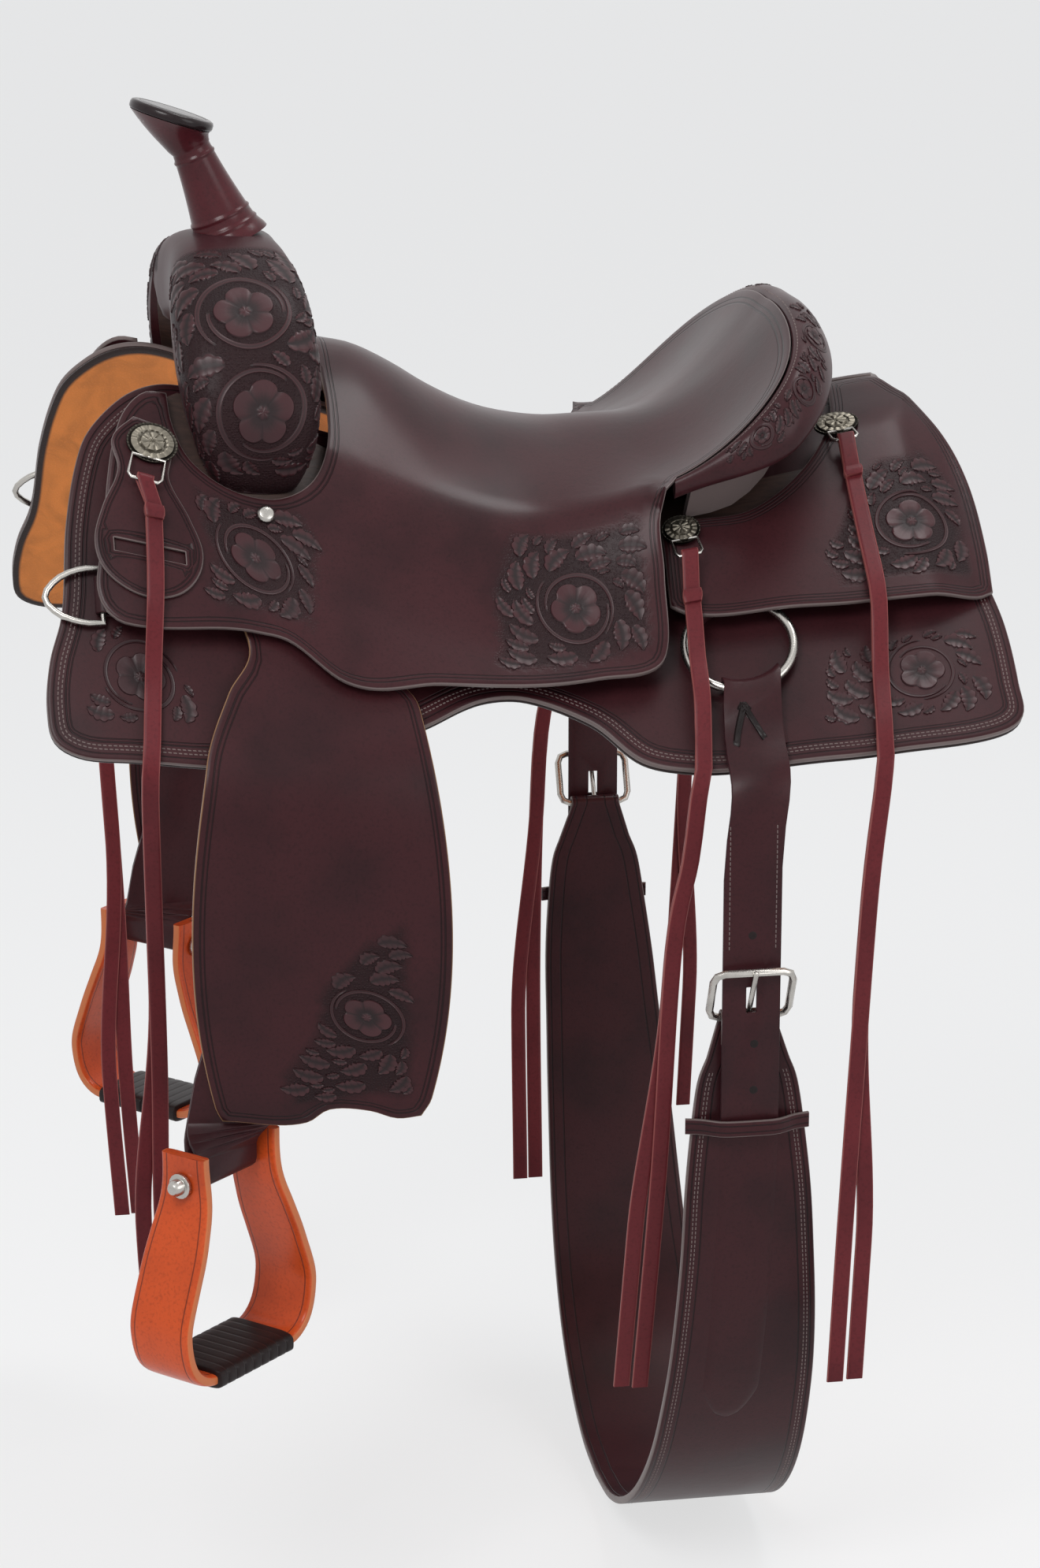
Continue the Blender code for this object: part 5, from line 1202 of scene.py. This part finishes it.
arch, girth = np.meshgrid(
    np.linspace(0, FORK_LENGTH, FORK_ROWS), np.linspace(0, FORK_GIRTH, FORK_COLUMNS, endpoint=False), indexing="ij",
)
fork_leather = leather("fork_leather", BROWN, DARK, 0.42, stamped=True)
fork_rings = fork_place(arch, girth, 0.0).reshape(FORK_ROWS, FORK_COLUMNS, 3)
fork_cover, = closed_skin("fork_leather_cover", fork_rings, fork_leather, "saddle", ["fork_cover"])
carved = (np.abs(girth - CARVED_MIDDLE) < CARVED_HALF) & (np.abs(arch - 0.5 * FORK_LENGTH) > BARE_CREST)
point_values(fork_cover.data, "zone", np.where(carved, 1.0, 0.0).reshape(-1))
carve("fork_carving_left", fork_place, [(FORK_ZONE, FORK_FLOWERS, 41)], count=3000)


# Horn: a steel post wrapped in glossy leather, with welts round the neck, that flares to a flat cap. The cap
# is black leather drawn over its rim, with a groove pressed in near the edge.

HORN_FOOT = Vector((-0.216, 0.0, 0.236))
HORN_TOP = Vector((-0.2455, 0.0, 0.308))
NECK_FOOT_RADIUS = 0.0245
NECK_TOP_RADIUS = 0.0140
CAP_RADIUS = 0.0325
CAP_TILT = math.radians(18.0)
CAP_FOOT = HORN_TOP + Vector((-0.0135, 0.0, -0.003))
CAP_UNDER = 0.013
CAP_THICKNESS = 0.0075
CAP_PROFILE = (
    # radius and rise, from the middle of the underside round the rim to the middle of the top
    (0.0001, 0.0), (CAP_RADIUS - 0.0015, 0.0), (CAP_RADIUS - 0.0004, 0.0006), (CAP_RADIUS, 0.0018),
    (CAP_RADIUS, CAP_THICKNESS - 0.0028), (CAP_RADIUS - 0.0008, CAP_THICKNESS - 0.0010),
    (CAP_RADIUS - 0.0028, CAP_THICKNESS - 0.0001), (CAP_RADIUS * 0.83, CAP_THICKNESS - 0.0002),
    (CAP_RADIUS * 0.80, CAP_THICKNESS - 0.0008), (CAP_RADIUS * 0.77, CAP_THICKNESS - 0.0002),
    (CAP_RADIUS * 0.5, CAP_THICKNESS), (0.0001, CAP_THICKNESS),
)
NECK_START = -0.16
NECK_END = 0.80
FLARE_START_RADIUS = 0.0155
WELTS = (-0.02, 0.10, 0.72)
WELT_RISE = 0.0011
WELT_HALF = 0.022
FOOT_SPREAD = 0.0028
horn_axis = (HORN_TOP - HORN_FOOT).normalized()
horn_length = (HORN_TOP - HORN_FOOT).length
cap_axis = Vector((math.sin(CAP_TILT), 0.0, math.cos(CAP_TILT)))


def ring_about(centre, axis, radius, count=64):
    """A level ring of points about an axis that leans only along x."""
    turns = np.linspace(0, math.tau, count, endpoint=False)
    first = np.array((0.0, 1.0, 0.0))
    second = np.array(axis.cross(Vector(first)))
    return np.array(centre) + radius * (np.cos(turns)[:, None] * first + np.sin(turns)[:, None] * second)


horn_rings = []
for share in np.linspace(NECK_START, NECK_END, 65).tolist():
    radius = NECK_TOP_RADIUS + (NECK_FOOT_RADIUS - NECK_TOP_RADIUS) * (1 - share) ** 1.6
    radius += FOOT_SPREAD * float(ease(share / NECK_START))
    radius += sum(WELT_RISE * max(0.0, 1 - ((share - at) / WELT_HALF) ** 2) for at in WELTS)
    horn_rings.append(ring_about(HORN_FOOT + (0.001 + share * horn_length) * horn_axis, horn_axis, radius))
flare_start = HORN_FOOT + NECK_END * horn_length * horn_axis
for share in np.linspace(0.12, 1.0, 12).tolist():
    centre = flare_start.lerp(CAP_FOOT + (CAP_UNDER - 0.001) * cap_axis, share)
    axis = horn_axis.lerp(cap_axis, share).normalized()
    radius = FLARE_START_RADIUS + (CAP_RADIUS - 0.0012 - FLARE_START_RADIUS) * share**1.5
    horn_rings.append(ring_about(centre, axis, radius))
wrap_leather = leather("horn_wrap_leather", (0.078, 0.012, 0.016), (0.030, 0.006, 0.008), 0.27, coat=0.8, relief=1.6)
closed_skin("horn_neck_wrap", horn_rings, wrap_leather, "saddle", ["horn_wrap"])
cap_base = CAP_FOOT + (CAP_UNDER - 0.0006) * cap_axis
cap_rings = [ring_about(cap_base + rise * cap_axis, cap_axis, radius) for radius, rise in CAP_PROFILE]
cap_leather = leather("horn_cap_leather", (0.020, 0.012, 0.013), (0.008, 0.005, 0.006), 0.22, coat=0.7)
closed_skin("horn_leather_cap", cap_rings, cap_leather, "saddle", ["horn_cap"])


# Conchos: oval nickel buttons, cast with a rosette inside a beaded rim and blackened in the hollows, each
# with a wire bail that carries the saddle strings.

def metal(name, colour, roughness, hollow=None):
    """Worn metal with fine scratches and, where asked, black in the hollows."""
    made, tree, shader = principled(name)
    place = object_place(tree)
    stretched = node(tree, "Mapping", {"Vector": place, "Scale": (900.0, 120.0, 900.0)})
    scratches = node(tree, "TexNoise", {"Vector": stretched, "Scale": 1.0, "Detail": 3.0})
    clouds = node(tree, "TexNoise", {"Vector": place, "Scale": 60.0, "Detail": 4.0})
    tone = mix(tree, between(tree, clouds, 0.35, 0.75, 0.0, 0.45), colour, darker(colour, 0.6))
    if hollow:
        tone = mix(tree, between(tree, attribute(tree, "rise"), 0.15, 0.75), hollow, tone)
    fill(tree, shader, {
        "Base Color": tone, "Metallic": 1.0, "Normal": bump(tree, scratches, 0.0001, 0.25),
        "Roughness": math_node(tree, "ADD", math_node(tree, "MULTIPLY", scratches, 0.15), roughness),
    })
    return made


def wire_loop(name, path, radius, up, body, nodes=(), sides=14):
    """A closed loop of round nickel wire along a path."""
    path = point_rows(path)
    along = unit_rows(np.roll(path, -1, axis=0) - np.roll(path, 1, axis=0))
    first = unit_rows(np.asarray(up, float) - (along @ np.asarray(up, float))[:, None] * along)
    second = np.cross(along, first)
    turns = np.linspace(0, math.tau, sides, endpoint=False)
    rings = path[:, None] + radius * (
        np.cos(turns)[None, :, None] * first[:, None] + np.sin(turns)[None, :, None] * second[:, None]
    )
    shape = Shape()
    shape.grid(np.concatenate([rings, rings[:1]]), 1.0, wrap=True)
    shape.finish(name, nickel, body, nodes, value="rise")


nickel = metal("polished_nickel", (0.50, 0.48, 0.45), 0.20)
old_silver = metal("engraved_silver", (0.21, 0.19, 0.155), 0.36, hollow=(0.016, 0.014, 0.012))
ROSETTE_ROWS = (
    1.0, 1.0, 0.985, 0.95, 0.91, 0.87, 0.84, 0.79, 0.73, 0.66, 0.60, 0.55, 0.51, 0.45, 0.38, 0.30, 0.22, 0.17,
    0.12, 0.06, 0.001,
)
ROSETTE_RISE = 0.0042
BAIL_INSET = 0.003
BAIL_CORNER = 0.003
for name, x, s, radius, ovalness, half_width, reach in CONCHOS:
    foot, normal, along, down = surface_frame(x, s, lambda a, b: concho_floor(name, a, b) + CONCHO_ROOM)
    rows = np.array(ROSETTE_ROWS)[:, None]
    angles = np.linspace(0, math.tau, 90, endpoint=False)[None, :]
    bead = 0.10 + 0.08 * np.cos(36 * angles)
    ring = 0.62 + 0.16 * np.abs(np.sin(8 * angles)) ** 0.7
    petal = 0.70 + 0.28 * np.abs(np.cos(4 * angles)) ** 0.5
    rise = np.where(rows > 0.93, 0.45 + bead, np.where(rows > 0.85, 0.42, np.where(rows > 0.57, ring, petal)))
    rise = np.where(np.abs(rows - 0.53) < 0.03, 0.50, rise)
    rise = np.where(rows < 0.19, 0.95 + 0.08 * np.cos(6 * angles), rise)
    rise = rise + 0.25 * (1 - rows**2) * (rows < 0.85)
    rise = rise * np.ones_like(angles)
    rise[0] = 0.0
    points = (
        np.array(foot) + (radius * rows * np.cos(angles))[..., None] * np.array(along)
        + (radius * ovalness * rows * np.sin(angles))[..., None] * np.array(down)
        + (ROSETTE_RISE * rise)[..., None] * np.array(normal)
    )
    closed_skin(
        f"concho_rosette_{name}_left", points, old_silver, "saddle", [f"concho_{name}_left"],
        values=np.clip(rise, 0, 1) ** 2, value="rise",
    )
    inner = radius * ovalness - BAIL_INSET
    outer = radius * ovalness + reach
    bail = []
    shoulder = outer - BAIL_CORNER
    for a, b in ((-1, inner), (-1, shoulder), (-0.8, outer), (0.8, outer), (1, shoulder), (1, inner)):
        lift = BAIL_FOOT + (BAIL_LIFT - BAIL_FOOT) * (b - inner) / (outer - inner)
        bail.append(foot + a * half_width * along + b * down + lift * normal)
    wire_loop(f"concho_bail_{name}_left", bail, BAIL_WIRE, normal, "saddle")


# Rear rigging: a nickel ring held by a folded strap of leather, and the flank billet that hangs from it. The
# billet is folded round the ring, stitched, laced with a thong and punched for the buckle's tongue. Its holes
# are shown by black spots of painted shade.

RING_X = 0.141
RING_S = 0.240
RING_RADIUS = 0.0405
RING_WIRE = 0.0035
RING_LIFT = 0.0165
ring_middle, ring_up, ring_along, ring_down = surface_frame(RING_X, RING_S, RING_LIFT)
ring_path = [
    ring_middle + RING_RADIUS * (math.cos(t) * ring_along + math.sin(t) * ring_down)
    for t in np.linspace(0, math.tau, 96, endpoint=False)
]
wire_loop(
    "rigging_ring_steel_left", ring_path, RING_WIRE, ring_up, "flank_rigging", ["rigging_ring_left"], sides=20,
)


def refined(node_name, piece, material, body, width=0.0006, sharp=40):
    """A copy of a CAD piece with its seams merged and its edges rounded, which stands for it."""
    bm = bmesh.new()
    bm.from_mesh(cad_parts[node_name].data)
    bmesh.ops.remove_doubles(bm, verts=bm.verts, dist=1e-5)
    bmesh.ops.dissolve_limit(bm, angle_limit=math.radians(1.0), verts=bm.verts, edges=bm.edges)
    edges = [e for e in bm.edges if len(e.link_faces) == 2 and e.calc_face_angle(0.0) > math.radians(35)]
    bmesh.ops.bevel(
        bm, geom=edges, offset=width, offset_type="OFFSET", segments=2, profile=0.5, affect="EDGES",
        clamp_overlap=True, material=-1,
    )
    mesh = bpy.data.meshes.new(piece)
    bm.to_mesh(mesh)
    bm.free()
    point_values(mesh, "edge", [FAR_FROM_EDGE] * len(mesh.vertices))
    point_values(mesh, "rise", [1.0] * len(mesh.vertices))
    add(piece, mesh, material, body, [node_name], sharp)


strap_leather = leather("strap_leather", BROWN, DARK, 0.40, lines=((0.0035, 0.0005),))
refined("rear_rigging_left", "rigging_strap_left", strap_leather, "saddle")
refined("flank_billet_left", "billet_leather_left", strap_leather, "flank_rigging", width=0.0005)
refined("flank_buckle_left", "buckle_steel_left", nickel, "flank_rigging", width=0.0005, sharp=60)


INWARDS = Vector((0, 1, 0))
RAY_START = -1.0
PAST_THE_LEATHER = -0.30


def ray_place(target):
    """A place function for what lies on a hanging near strap: a is x, b is z."""
    bm = bmesh.new()
    bm.from_mesh(target.data)
    surface = BVHTree.FromBMesh(bm)
    bm.free()

    def place(a, b, lift):
        found = []
        for x, z, rise in zip(*(values.tolist() for values in arrays(a, b, lift))):
            spot = surface.ray_cast(Vector((x, RAY_START, z)), INWARDS)[0]
            found.append((x, PAST_THE_LEATHER, z) if spot is None else tuple(spot - rise * INWARDS))
        return np.array(found)

    return place


BILLET_X = 0.131
BILLET_STITCH_ROW = 0.0175
BILLET_STITCH_RUN = (-0.168, -0.262)
TONGUE_HOLES = ((0.131, -0.252), (0.1335, -0.336), (0.1335, -0.372))
TONGUE_HOLE_RADIUS = 0.0034
THONG_HOLES = ((0.131, -0.098), (0.137, -0.098))
THONG_HOLE_RADIUS = 0.0022
THONG_PATHS = (
    # x and z down the two tails and over the small loop
    ((0.134, -0.089), (0.132, -0.096), (0.128, -0.106), (0.124, -0.117)),
    ((0.134, -0.089), (0.137, -0.096), (0.142, -0.105), (0.146, -0.112)),
    ((0.1300, -0.095), (0.134, -0.091), (0.1380, -0.095)),
)
THONG_WIDTH = 0.0050
THONG_RISE = 0.0026
billet_place = ray_place(bpy.data.objects["billet_leather_left"])
sew("billet_stitching_left", billet_place, [
    [(BILLET_X + offset, z) for z in np.linspace(*BILLET_STITCH_RUN, 30)]
    for offset in (-BILLET_STITCH_ROW, BILLET_STITCH_ROW)
], "flank_rigging", width=0.0009)


def disc(shape, place, a, b, radius, heights):
    """A round spot in rings of given heights from its middle to its rim, in steps of one radius."""
    rows = np.linspace(0.02, 1, len(heights))[:, None]
    angles = np.linspace(0, math.tau, 24, endpoint=False)[None, :]
    rise = np.asarray(heights, float)[:, None] * np.ones_like(angles)
    points = place(a + radius * rows * np.cos(angles), b + radius * rows * np.sin(angles), rise)
    shape.grid(points.reshape(len(rows), 24, 3), 0.02, wrap=True)


black_leather = leather("black_leather", (0.014, 0.008, 0.008), (0.006, 0.004, 0.004), 0.42, relief=1.5)
# Painted shade: black spots laid on the billet's face stand for the dark inside its tongue and thong holes.
shape = Shape()
for x, z in TONGUE_HOLES:
    disc(shape, billet_place, x, z, TONGUE_HOLE_RADIUS, (0.0002, 0.0002, 0.0003, -0.0001))
for x, z in THONG_HOLES:
    disc(shape, billet_place, x, z, THONG_HOLE_RADIUS, (0.0002, 0.0002, -0.0001))
shape.finish("billet_holes_left", black_leather, "flank_rigging")
shape = Shape()
for path in THONG_PATHS:
    route = [(p.x, p.y) for p in curve_points([(a, b, 0.0) for a, b in path], 0.002)]
    stem(shape, billet_place, route, [THONG_WIDTH] * len(route), rise=THONG_RISE)
shape.finish("billet_thong_left", black_leather, "flank_rigging", value="edge", recalc=False)


# Flank cinch: one wide strap of doubled leather under the belly, stitched in two rows along its edges. Each
# end is narrowed and folded round a buckle, and a small keeper holds the billet's end.

BUCKLE_X = 0.131
BUCKLE_HEIGHT = -0.298
BUCKLE_LENGTH = 0.044
BUCKLE_WIRE = 0.003
BUCKLE_TILT = math.radians(26.0)
BILLET_PLANE = 0.306
CINCH_FLAP = 0.0025
CINCH_NECK = 0.042
CINCH_RUN = (
    # y, z, width and thickness on the near half
    (-0.2965, -0.349, 0.062, 0.0035), (-0.2960, -0.369, 0.076, 0.0045), (-0.2950, -0.405, 0.086, 0.006),
    (-0.2910, -0.455, 0.096, 0.006), (-0.2830, -0.510, 0.102, 0.006), (-0.2690, -0.570, 0.109, 0.006),
    (-0.2470, -0.635, 0.115, 0.006), (-0.2130, -0.700, 0.120, 0.006), (-0.1680, -0.752, 0.124, 0.006),
    (-0.1150, -0.790, 0.126, 0.006), (-0.0580, -0.813, 0.127, 0.006), (0.0, -0.820, 0.127, 0.006),
)
CINCH_SHIFT = 0.009
STITCHED_SPOTS = slice(14, -8)
CINCH_STITCH_ROWS = (0.0065, 0.0090)
RELIEF_X = 0.133
RELIEF_HALF_WIDTH = 0.0225
RELIEF_TOP = -0.402
RELIEF_TIP = -0.668
RELIEF_ROWS = 60
RELIEF_RISE = 0.0014
KEEPER_BAND = (
    # x and y of the band's middle line
    (0.084, -0.2985), (0.095, -0.3015), (0.105, -0.3075), (0.113, -0.3105), (0.131, -0.3112), (0.149, -0.3105),
    (0.157, -0.3075), (0.167, -0.3015), (0.178, -0.2985),
)
KEEPER_BAND_Z = -0.401
rise_way = Vector((0.0, -math.sin(BUCKLE_TILT), math.cos(BUCKLE_TILT)))
anchor = Vector((BUCKLE_X, -BILLET_PLANE, BUCKLE_HEIGHT)) - 0.5 * BUCKLE_LENGTH * rise_way
clear = BUCKLE_WIRE + 0.0004 + 0.5 * CINCH_FLAP
near = [(anchor + Vector((0, -clear, -0.020)), CINCH_NECK, CINCH_FLAP)]
for turn in range(180, -1, -20):
    angle = math.radians(turn)
    spot = anchor + Vector((0.0, clear * math.cos(angle), clear * math.sin(angle)))
    near.append((spot, CINCH_NECK, CINCH_FLAP))
run = np.array(CINCH_RUN)
steps = np.arange(len(run))
for at in np.linspace(0, len(run) - 1, 56):
    y, z, width, thick = (float(curve(steps, run[:, k])(at)) for k in range(4))
    x = BUCKLE_X + CINCH_SHIFT * float(ease((-0.33 - z) / 0.3))
    near.append((Vector((x, y, z)), width, thick))
whole = near + [(Vector((p.x, -p.y, p.z)), width, thick) for p, width, thick in reversed(near[:-1])]
plain_cinch = leather("cinch_outer_leather", BROWN, DARK, 0.42, relief=1.3)
cinch_leather = leather(
    "cinch_leather", BROWN, DARK, 0.40, lines=((0.0040, 0.0006), (0.0130, 0.0006)), relief=1.3,
)
shape = Shape()
strap(
    shape, [p for p, _, _ in whole], [(1, 0, 0)] * len(whole), [w for _, w, _ in whole],
    [k for _, _, k in whole], insets=(0.0030, 0.0050, 0.0100, 0.0130, 0.0160),
)
cinch, = shape.finish("flank_cinch_leather", cinch_leather, "flank_rigging", ["flank_cinch"])
cinch_place = ray_place(cinch)
sew("cinch_stitching_left", cinch_place, [
    [(p.x + sign * (0.5 * width - inset), p.z) for p, width, _ in near[STITCHED_SPOTS]]
    for sign in (-1, 1) for inset in CINCH_STITCH_ROWS
], "flank_rigging", width=0.0009)
shape = Shape()
downs = np.linspace(RELIEF_TOP, RELIEF_TIP, RELIEF_ROWS)[:, None]
acrosses = np.array([-1, -0.93, -0.80, -0.60, 0.0, 0.60, 0.80, 0.93, 1])[None, :]
point_share = np.clip((downs - RELIEF_TIP) / 0.030, 0, 1) ** 0.5
swell = np.clip(1 - np.abs(acrosses) ** 8, 0, 1) * np.clip((downs - RELIEF_TIP) / 0.006, 0, 1)
relief = cinch_place(
    RELIEF_X + RELIEF_HALF_WIDTH * point_share * acrosses, downs + 0.0 * acrosses, RELIEF_RISE * swell - 0.0002,
)
shape.grid(relief.reshape(RELIEF_ROWS, -1, 3), 0.0030 + 0.01 * swell)
shape.finish("cinch_billet_relief_left", plain_cinch, "flank_rigging", recalc=False)
shape = Shape()
route = curve_points([(x, y, KEEPER_BAND_Z) for x, y in KEEPER_BAND], 0.004)
strap(shape, route, (0, 0, 1), 0.012, 0.0030)
shape.finish("cinch_keeper_left", strap_leather, "flank_rigging")


# Breast collar dees: flat loops of bent nickel wire for the breast collar, one at the front of each skirt.
# Each turns in a folded leather holder that comes out from under the side jockey.

DEE_X = -0.330
DEE_S = 0.305
DEE_HALF_HEIGHT = 0.021
DEE_REACH = 0.041
DEE_WIRE = 0.0025
DEE_LIFT = 0.0145
loop = [(0.0, -1.0), (0.0, -0.5), (0.0, 0.0), (0.0, 0.5), (0.0, 1.0), (-0.25, 1.0), (-0.40, 0.95), (-0.55, 0.86)]
loop += [(-0.72, 0.70), (-0.85, 0.5), (-0.96, 0.25), (-1.0, 0.0), (-0.96, -0.25), (-0.85, -0.5), (-0.72, -0.70)]
loop += [(-0.55, -0.86), (-0.40, -0.95), (-0.25, -1.0)]
dee_path = [Vector(panel(DEE_X + DEE_REACH * a, DEE_S + DEE_HALF_HEIGHT * b, DEE_LIFT)[0]) for a, b in loop]
dee_up = surface_frame(DEE_X, DEE_S, DEE_LIFT)[1]
wire_loop("breast_dee_steel_left", dee_path, DEE_WIRE, dee_up, "dee_left", ["breast_dee_left"])
refined("dee_holder_left", "dee_holder_leather_left", strap_leather, "saddle")
refined("pommel_screw_left", "pommel_screw_steel_left", nickel, "saddle", width=0.0004)


# Stirrups: bent wooden bells covered in tan leather with a paler worn edge, and black lacing wound round
# the tread. A steel bolt through the top hangs each one in the loop of its doubled stirrup leather.

BOLT_PLACE = Vector((-0.260, -0.283, -0.416))
STIRRUP_TURN = math.radians(45.0)
STIRRUP_BAND = 0.009
STIRRUP_DEPTH = 0.055
STIRRUP_PATH = (
    # along the bolt and up from it, for the half before the middle
    (-0.041, 0.022), (-0.041, -0.012), (-0.050, -0.040), (-0.062, -0.070), (-0.072, -0.098),
    (-0.072, -0.116), (-0.067, -0.132), (-0.058, -0.142), (-0.045, -0.147), (-0.0225, -0.147), (0.0, -0.147),
)
STIRRUP_TOP_NARROWING = 0.015
WRAP_TURNS = 9
UP = np.array((0, 0, 1))
along = Vector((math.cos(STIRRUP_TURN), math.sin(STIRRUP_TURN), 0.0))
deep = Vector((math.sin(STIRRUP_TURN), -math.cos(STIRRUP_TURN), 0.0))
deep_row = np.array(deep)
corners = list(STIRRUP_PATH) + [(-a, b) for a, b in reversed(STIRRUP_PATH[:-1])]
smooth_path = curve_points([BOLT_PLACE + a * along + Vector((0, 0, b)) for a, b in corners], 0.004)
rings = []
values = []
section = np.linspace(0, math.tau, 40, endpoint=False)
for point, way in zip(smooth_path, directions(smooth_path)):
    high = 1 - float(ease((0.018 - (point.z - BOLT_PLACE.z)) / 0.08))
    depth = 0.5 * (STIRRUP_DEPTH - STIRRUP_TOP_NARROWING * high)
    out = np.cross(way, deep_row)
    a = depth * signed_power(np.cos(section), 0.30)
    b = 0.5 * STIRRUP_BAND * signed_power(np.sin(section), 0.45)
    rings.append(np.array(point) + a[:, None] * deep_row + b[:, None] * out)
    values.append(depth - np.abs(a))
stirrup_leather = leather(
    "stirrup_tan_leather", (0.60, 0.080, 0.015), (0.36, 0.042, 0.010), 0.34, lines=((0.0058, 0.0005),),
    worn=(0.56, 0.19, 0.07), coat=0.9,
)
closed_skin(
    "stirrup_bell_left", rings, stirrup_leather, "stirrup_assembly_left", ["stirrup_left"],
    values=np.array(values), sharp=60,
)
tread = point_rows([v.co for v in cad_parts["tread_wrap_left"].data.vertices]) - np.array(BOLT_PLACE)
reaches = [tread @ np.array(way) for way in (along, deep, UP)]
spans = [(float(reach.min()), float(reach.max())) for reach in reaches]
middle = [0.5 * (low + high) for low, high in spans]
extent = [0.5 * (high - low) for low, high in spans]
rings = []
for share in np.linspace(-1, 1, 91).tolist():
    lap = (0.5 * WRAP_TURNS * (share + 1)) % 1.0
    size = min(1.0, ((1 - abs(share)) / 0.04 + 0.30) ** 0.5) - 0.035 * (1 - lap) ** 6
    a = extent[1] * size * signed_power(np.cos(section), 0.35)
    b = extent[2] * size * signed_power(np.sin(section), 0.55)
    centre = np.array(BOLT_PLACE + (middle[0] + share * extent[0]) * along)
    rings.append(centre + (middle[1] + a)[:, None] * deep_row + (middle[2] + b)[:, None] * UP)
closed_skin("tread_leather_wrap_left", rings, black_leather, "stirrup_assembly_left", ["tread_wrap_left"])
refined("stirrup_bolt_left", "stirrup_bolt_steel_left", nickel, "stirrup_assembly_left", width=0.0003, sharp=45)
refined("stirrup_leather_left", "stirrup_strap_left", strap_leather, "fender_assembly_left", width=0.0005)


# Inside pieces: the wooden tree of two bars, a fork and a cantle board, stained dark, with the ground seat
# of thick leather over it, the cantle's leather back, and the horn's steel post.

def timber(name, colour):
    """Wood with long rings, stained dark where the leather leaves it open."""
    made, tree, shader = principled(name)
    stretched = node(tree, "Mapping", {"Vector": object_place(tree), "Scale": (6.0, 60.0, 60.0)})
    rings_of_wood = node(tree, "TexNoise", {"Vector": stretched, "Scale": 3.0, "Detail": 6.0, "Distortion": 1.5})
    tone = mix(tree, between(tree, rings_of_wood, 0.35, 0.65), darker(colour, 0.6), colour)
    fill(tree, shader, {
        "Base Color": tone, "Roughness": 0.55, "Normal": bump(tree, rings_of_wood, 0.0005, 0.4),
    })
    return made


tree_wood = timber("tree_wood", (0.050, 0.024, 0.018))
raw_leather = leather("ground_seat_leather", (0.060, 0.026, 0.018), (0.030, 0.013, 0.010), 0.7, coat=0.0)
plain_leather = leather("back_leather", BROWN, DARK, 0.42)
CARRIED_OVER = {
    "tree_bar_left": tree_wood, "tree_bar_right": tree_wood, "fork": tree_wood, "cantle_board": tree_wood,
    "ground_seat": raw_leather, "cantle_back": plain_leather, "horn_post": nickel,
}
for name, material in CARRIED_OVER.items():
    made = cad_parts[name]
    made.data.materials.clear()
    made.data.materials.append(material)


# Light and ground: a white studio with a large soft key light to the front left, a broad weaker fill to the
# right and one overhead. The floor glows for the camera, so that it shows white and keeps its shadow.

def area_light(name, place, target, size, power):
    data = bpy.data.lights.new(name, "AREA")
    data.shape = "DISK"
    data.size = size
    data.energy = power
    lamp = bpy.data.objects.new(name, data)
    lamp.location = place
    lamp.rotation_euler = (Vector(target) - Vector(place)).to_track_quat("-Z", "Y").to_euler()
    bpy.context.scene.collection.objects.link(lamp)


area_light("key", (-1.3, -2.1, 1.9), (0, 0, -0.1), 1.4, 46.0)
area_light("fill", (2.2, -2.4, 0.8), (0, 0, -0.3), 2.0, 22.0)
area_light("top", (0.9, 0.3, 2.6), (0, 0, 0), 1.2, 26.0)

WHITE = (0.93, 0.93, 0.93, 1.0)
FLOOR_GLOW = 0.72
FLOOR_SIZE = 40.0
FLOOR_DROP = 1.02


def clear_rays(tree):
    """1 for the rays that show the background itself: to the camera, in metal and through glass."""
    rays = tree.nodes.new("ShaderNodeLightPath").outputs
    seen = math_node(tree, "MAXIMUM", rays["Is Camera Ray"], rays["Is Transmission Ray"])
    return math_node(tree, "MAXIMUM", seen, rays["Is Glossy Ray"])


def blend(tree, factor, first, second, output):
    """Mixes two shaders into an output node."""
    made = tree.nodes.new("ShaderNodeMixShader")
    fill(tree, made, {0: factor, 1: first, 2: second})
    tree.links.new(made.outputs[0], tree.nodes[output].inputs["Surface"])


world = bpy.data.worlds.new("studio")
bpy.context.scene.world = world
world.use_nodes = True
tree = world.node_tree
lit = tree.nodes["Background"]
fill(tree, lit, {"Color": (0.80, 0.84, 0.90, 1.0), "Strength": 0.50})
seen = node(tree, "Background", {"Color": WHITE})
blend(tree, clear_rays(tree), lit.outputs[0], seen, "World Output")

bm = bmesh.new()
bmesh.ops.create_grid(bm, x_segments=1, y_segments=1, size=FLOOR_SIZE)
floor_mesh = bpy.data.meshes.new("floor")
bm.to_mesh(floor_mesh)
bm.free()
floor = bpy.data.objects.new("floor", floor_mesh)
floor.location.z = FLOOR_DROP * cad_box[0][2]
bpy.context.scene.collection.objects.link(floor)
floor_material, tree, shader = principled("floor")
fill(tree, shader, {"Base Color": WHITE, "Roughness": 0.9})
glow = node(tree, "Emission", {"Color": WHITE})
share = math_node(tree, "MULTIPLY", clear_rays(tree), FLOOR_GLOW)
blend(tree, share, shader.outputs[0], glow, "Material Output")
floor_mesh.materials.append(floor_material)

bpy.context.scene.view_settings.view_transform = "Standard"
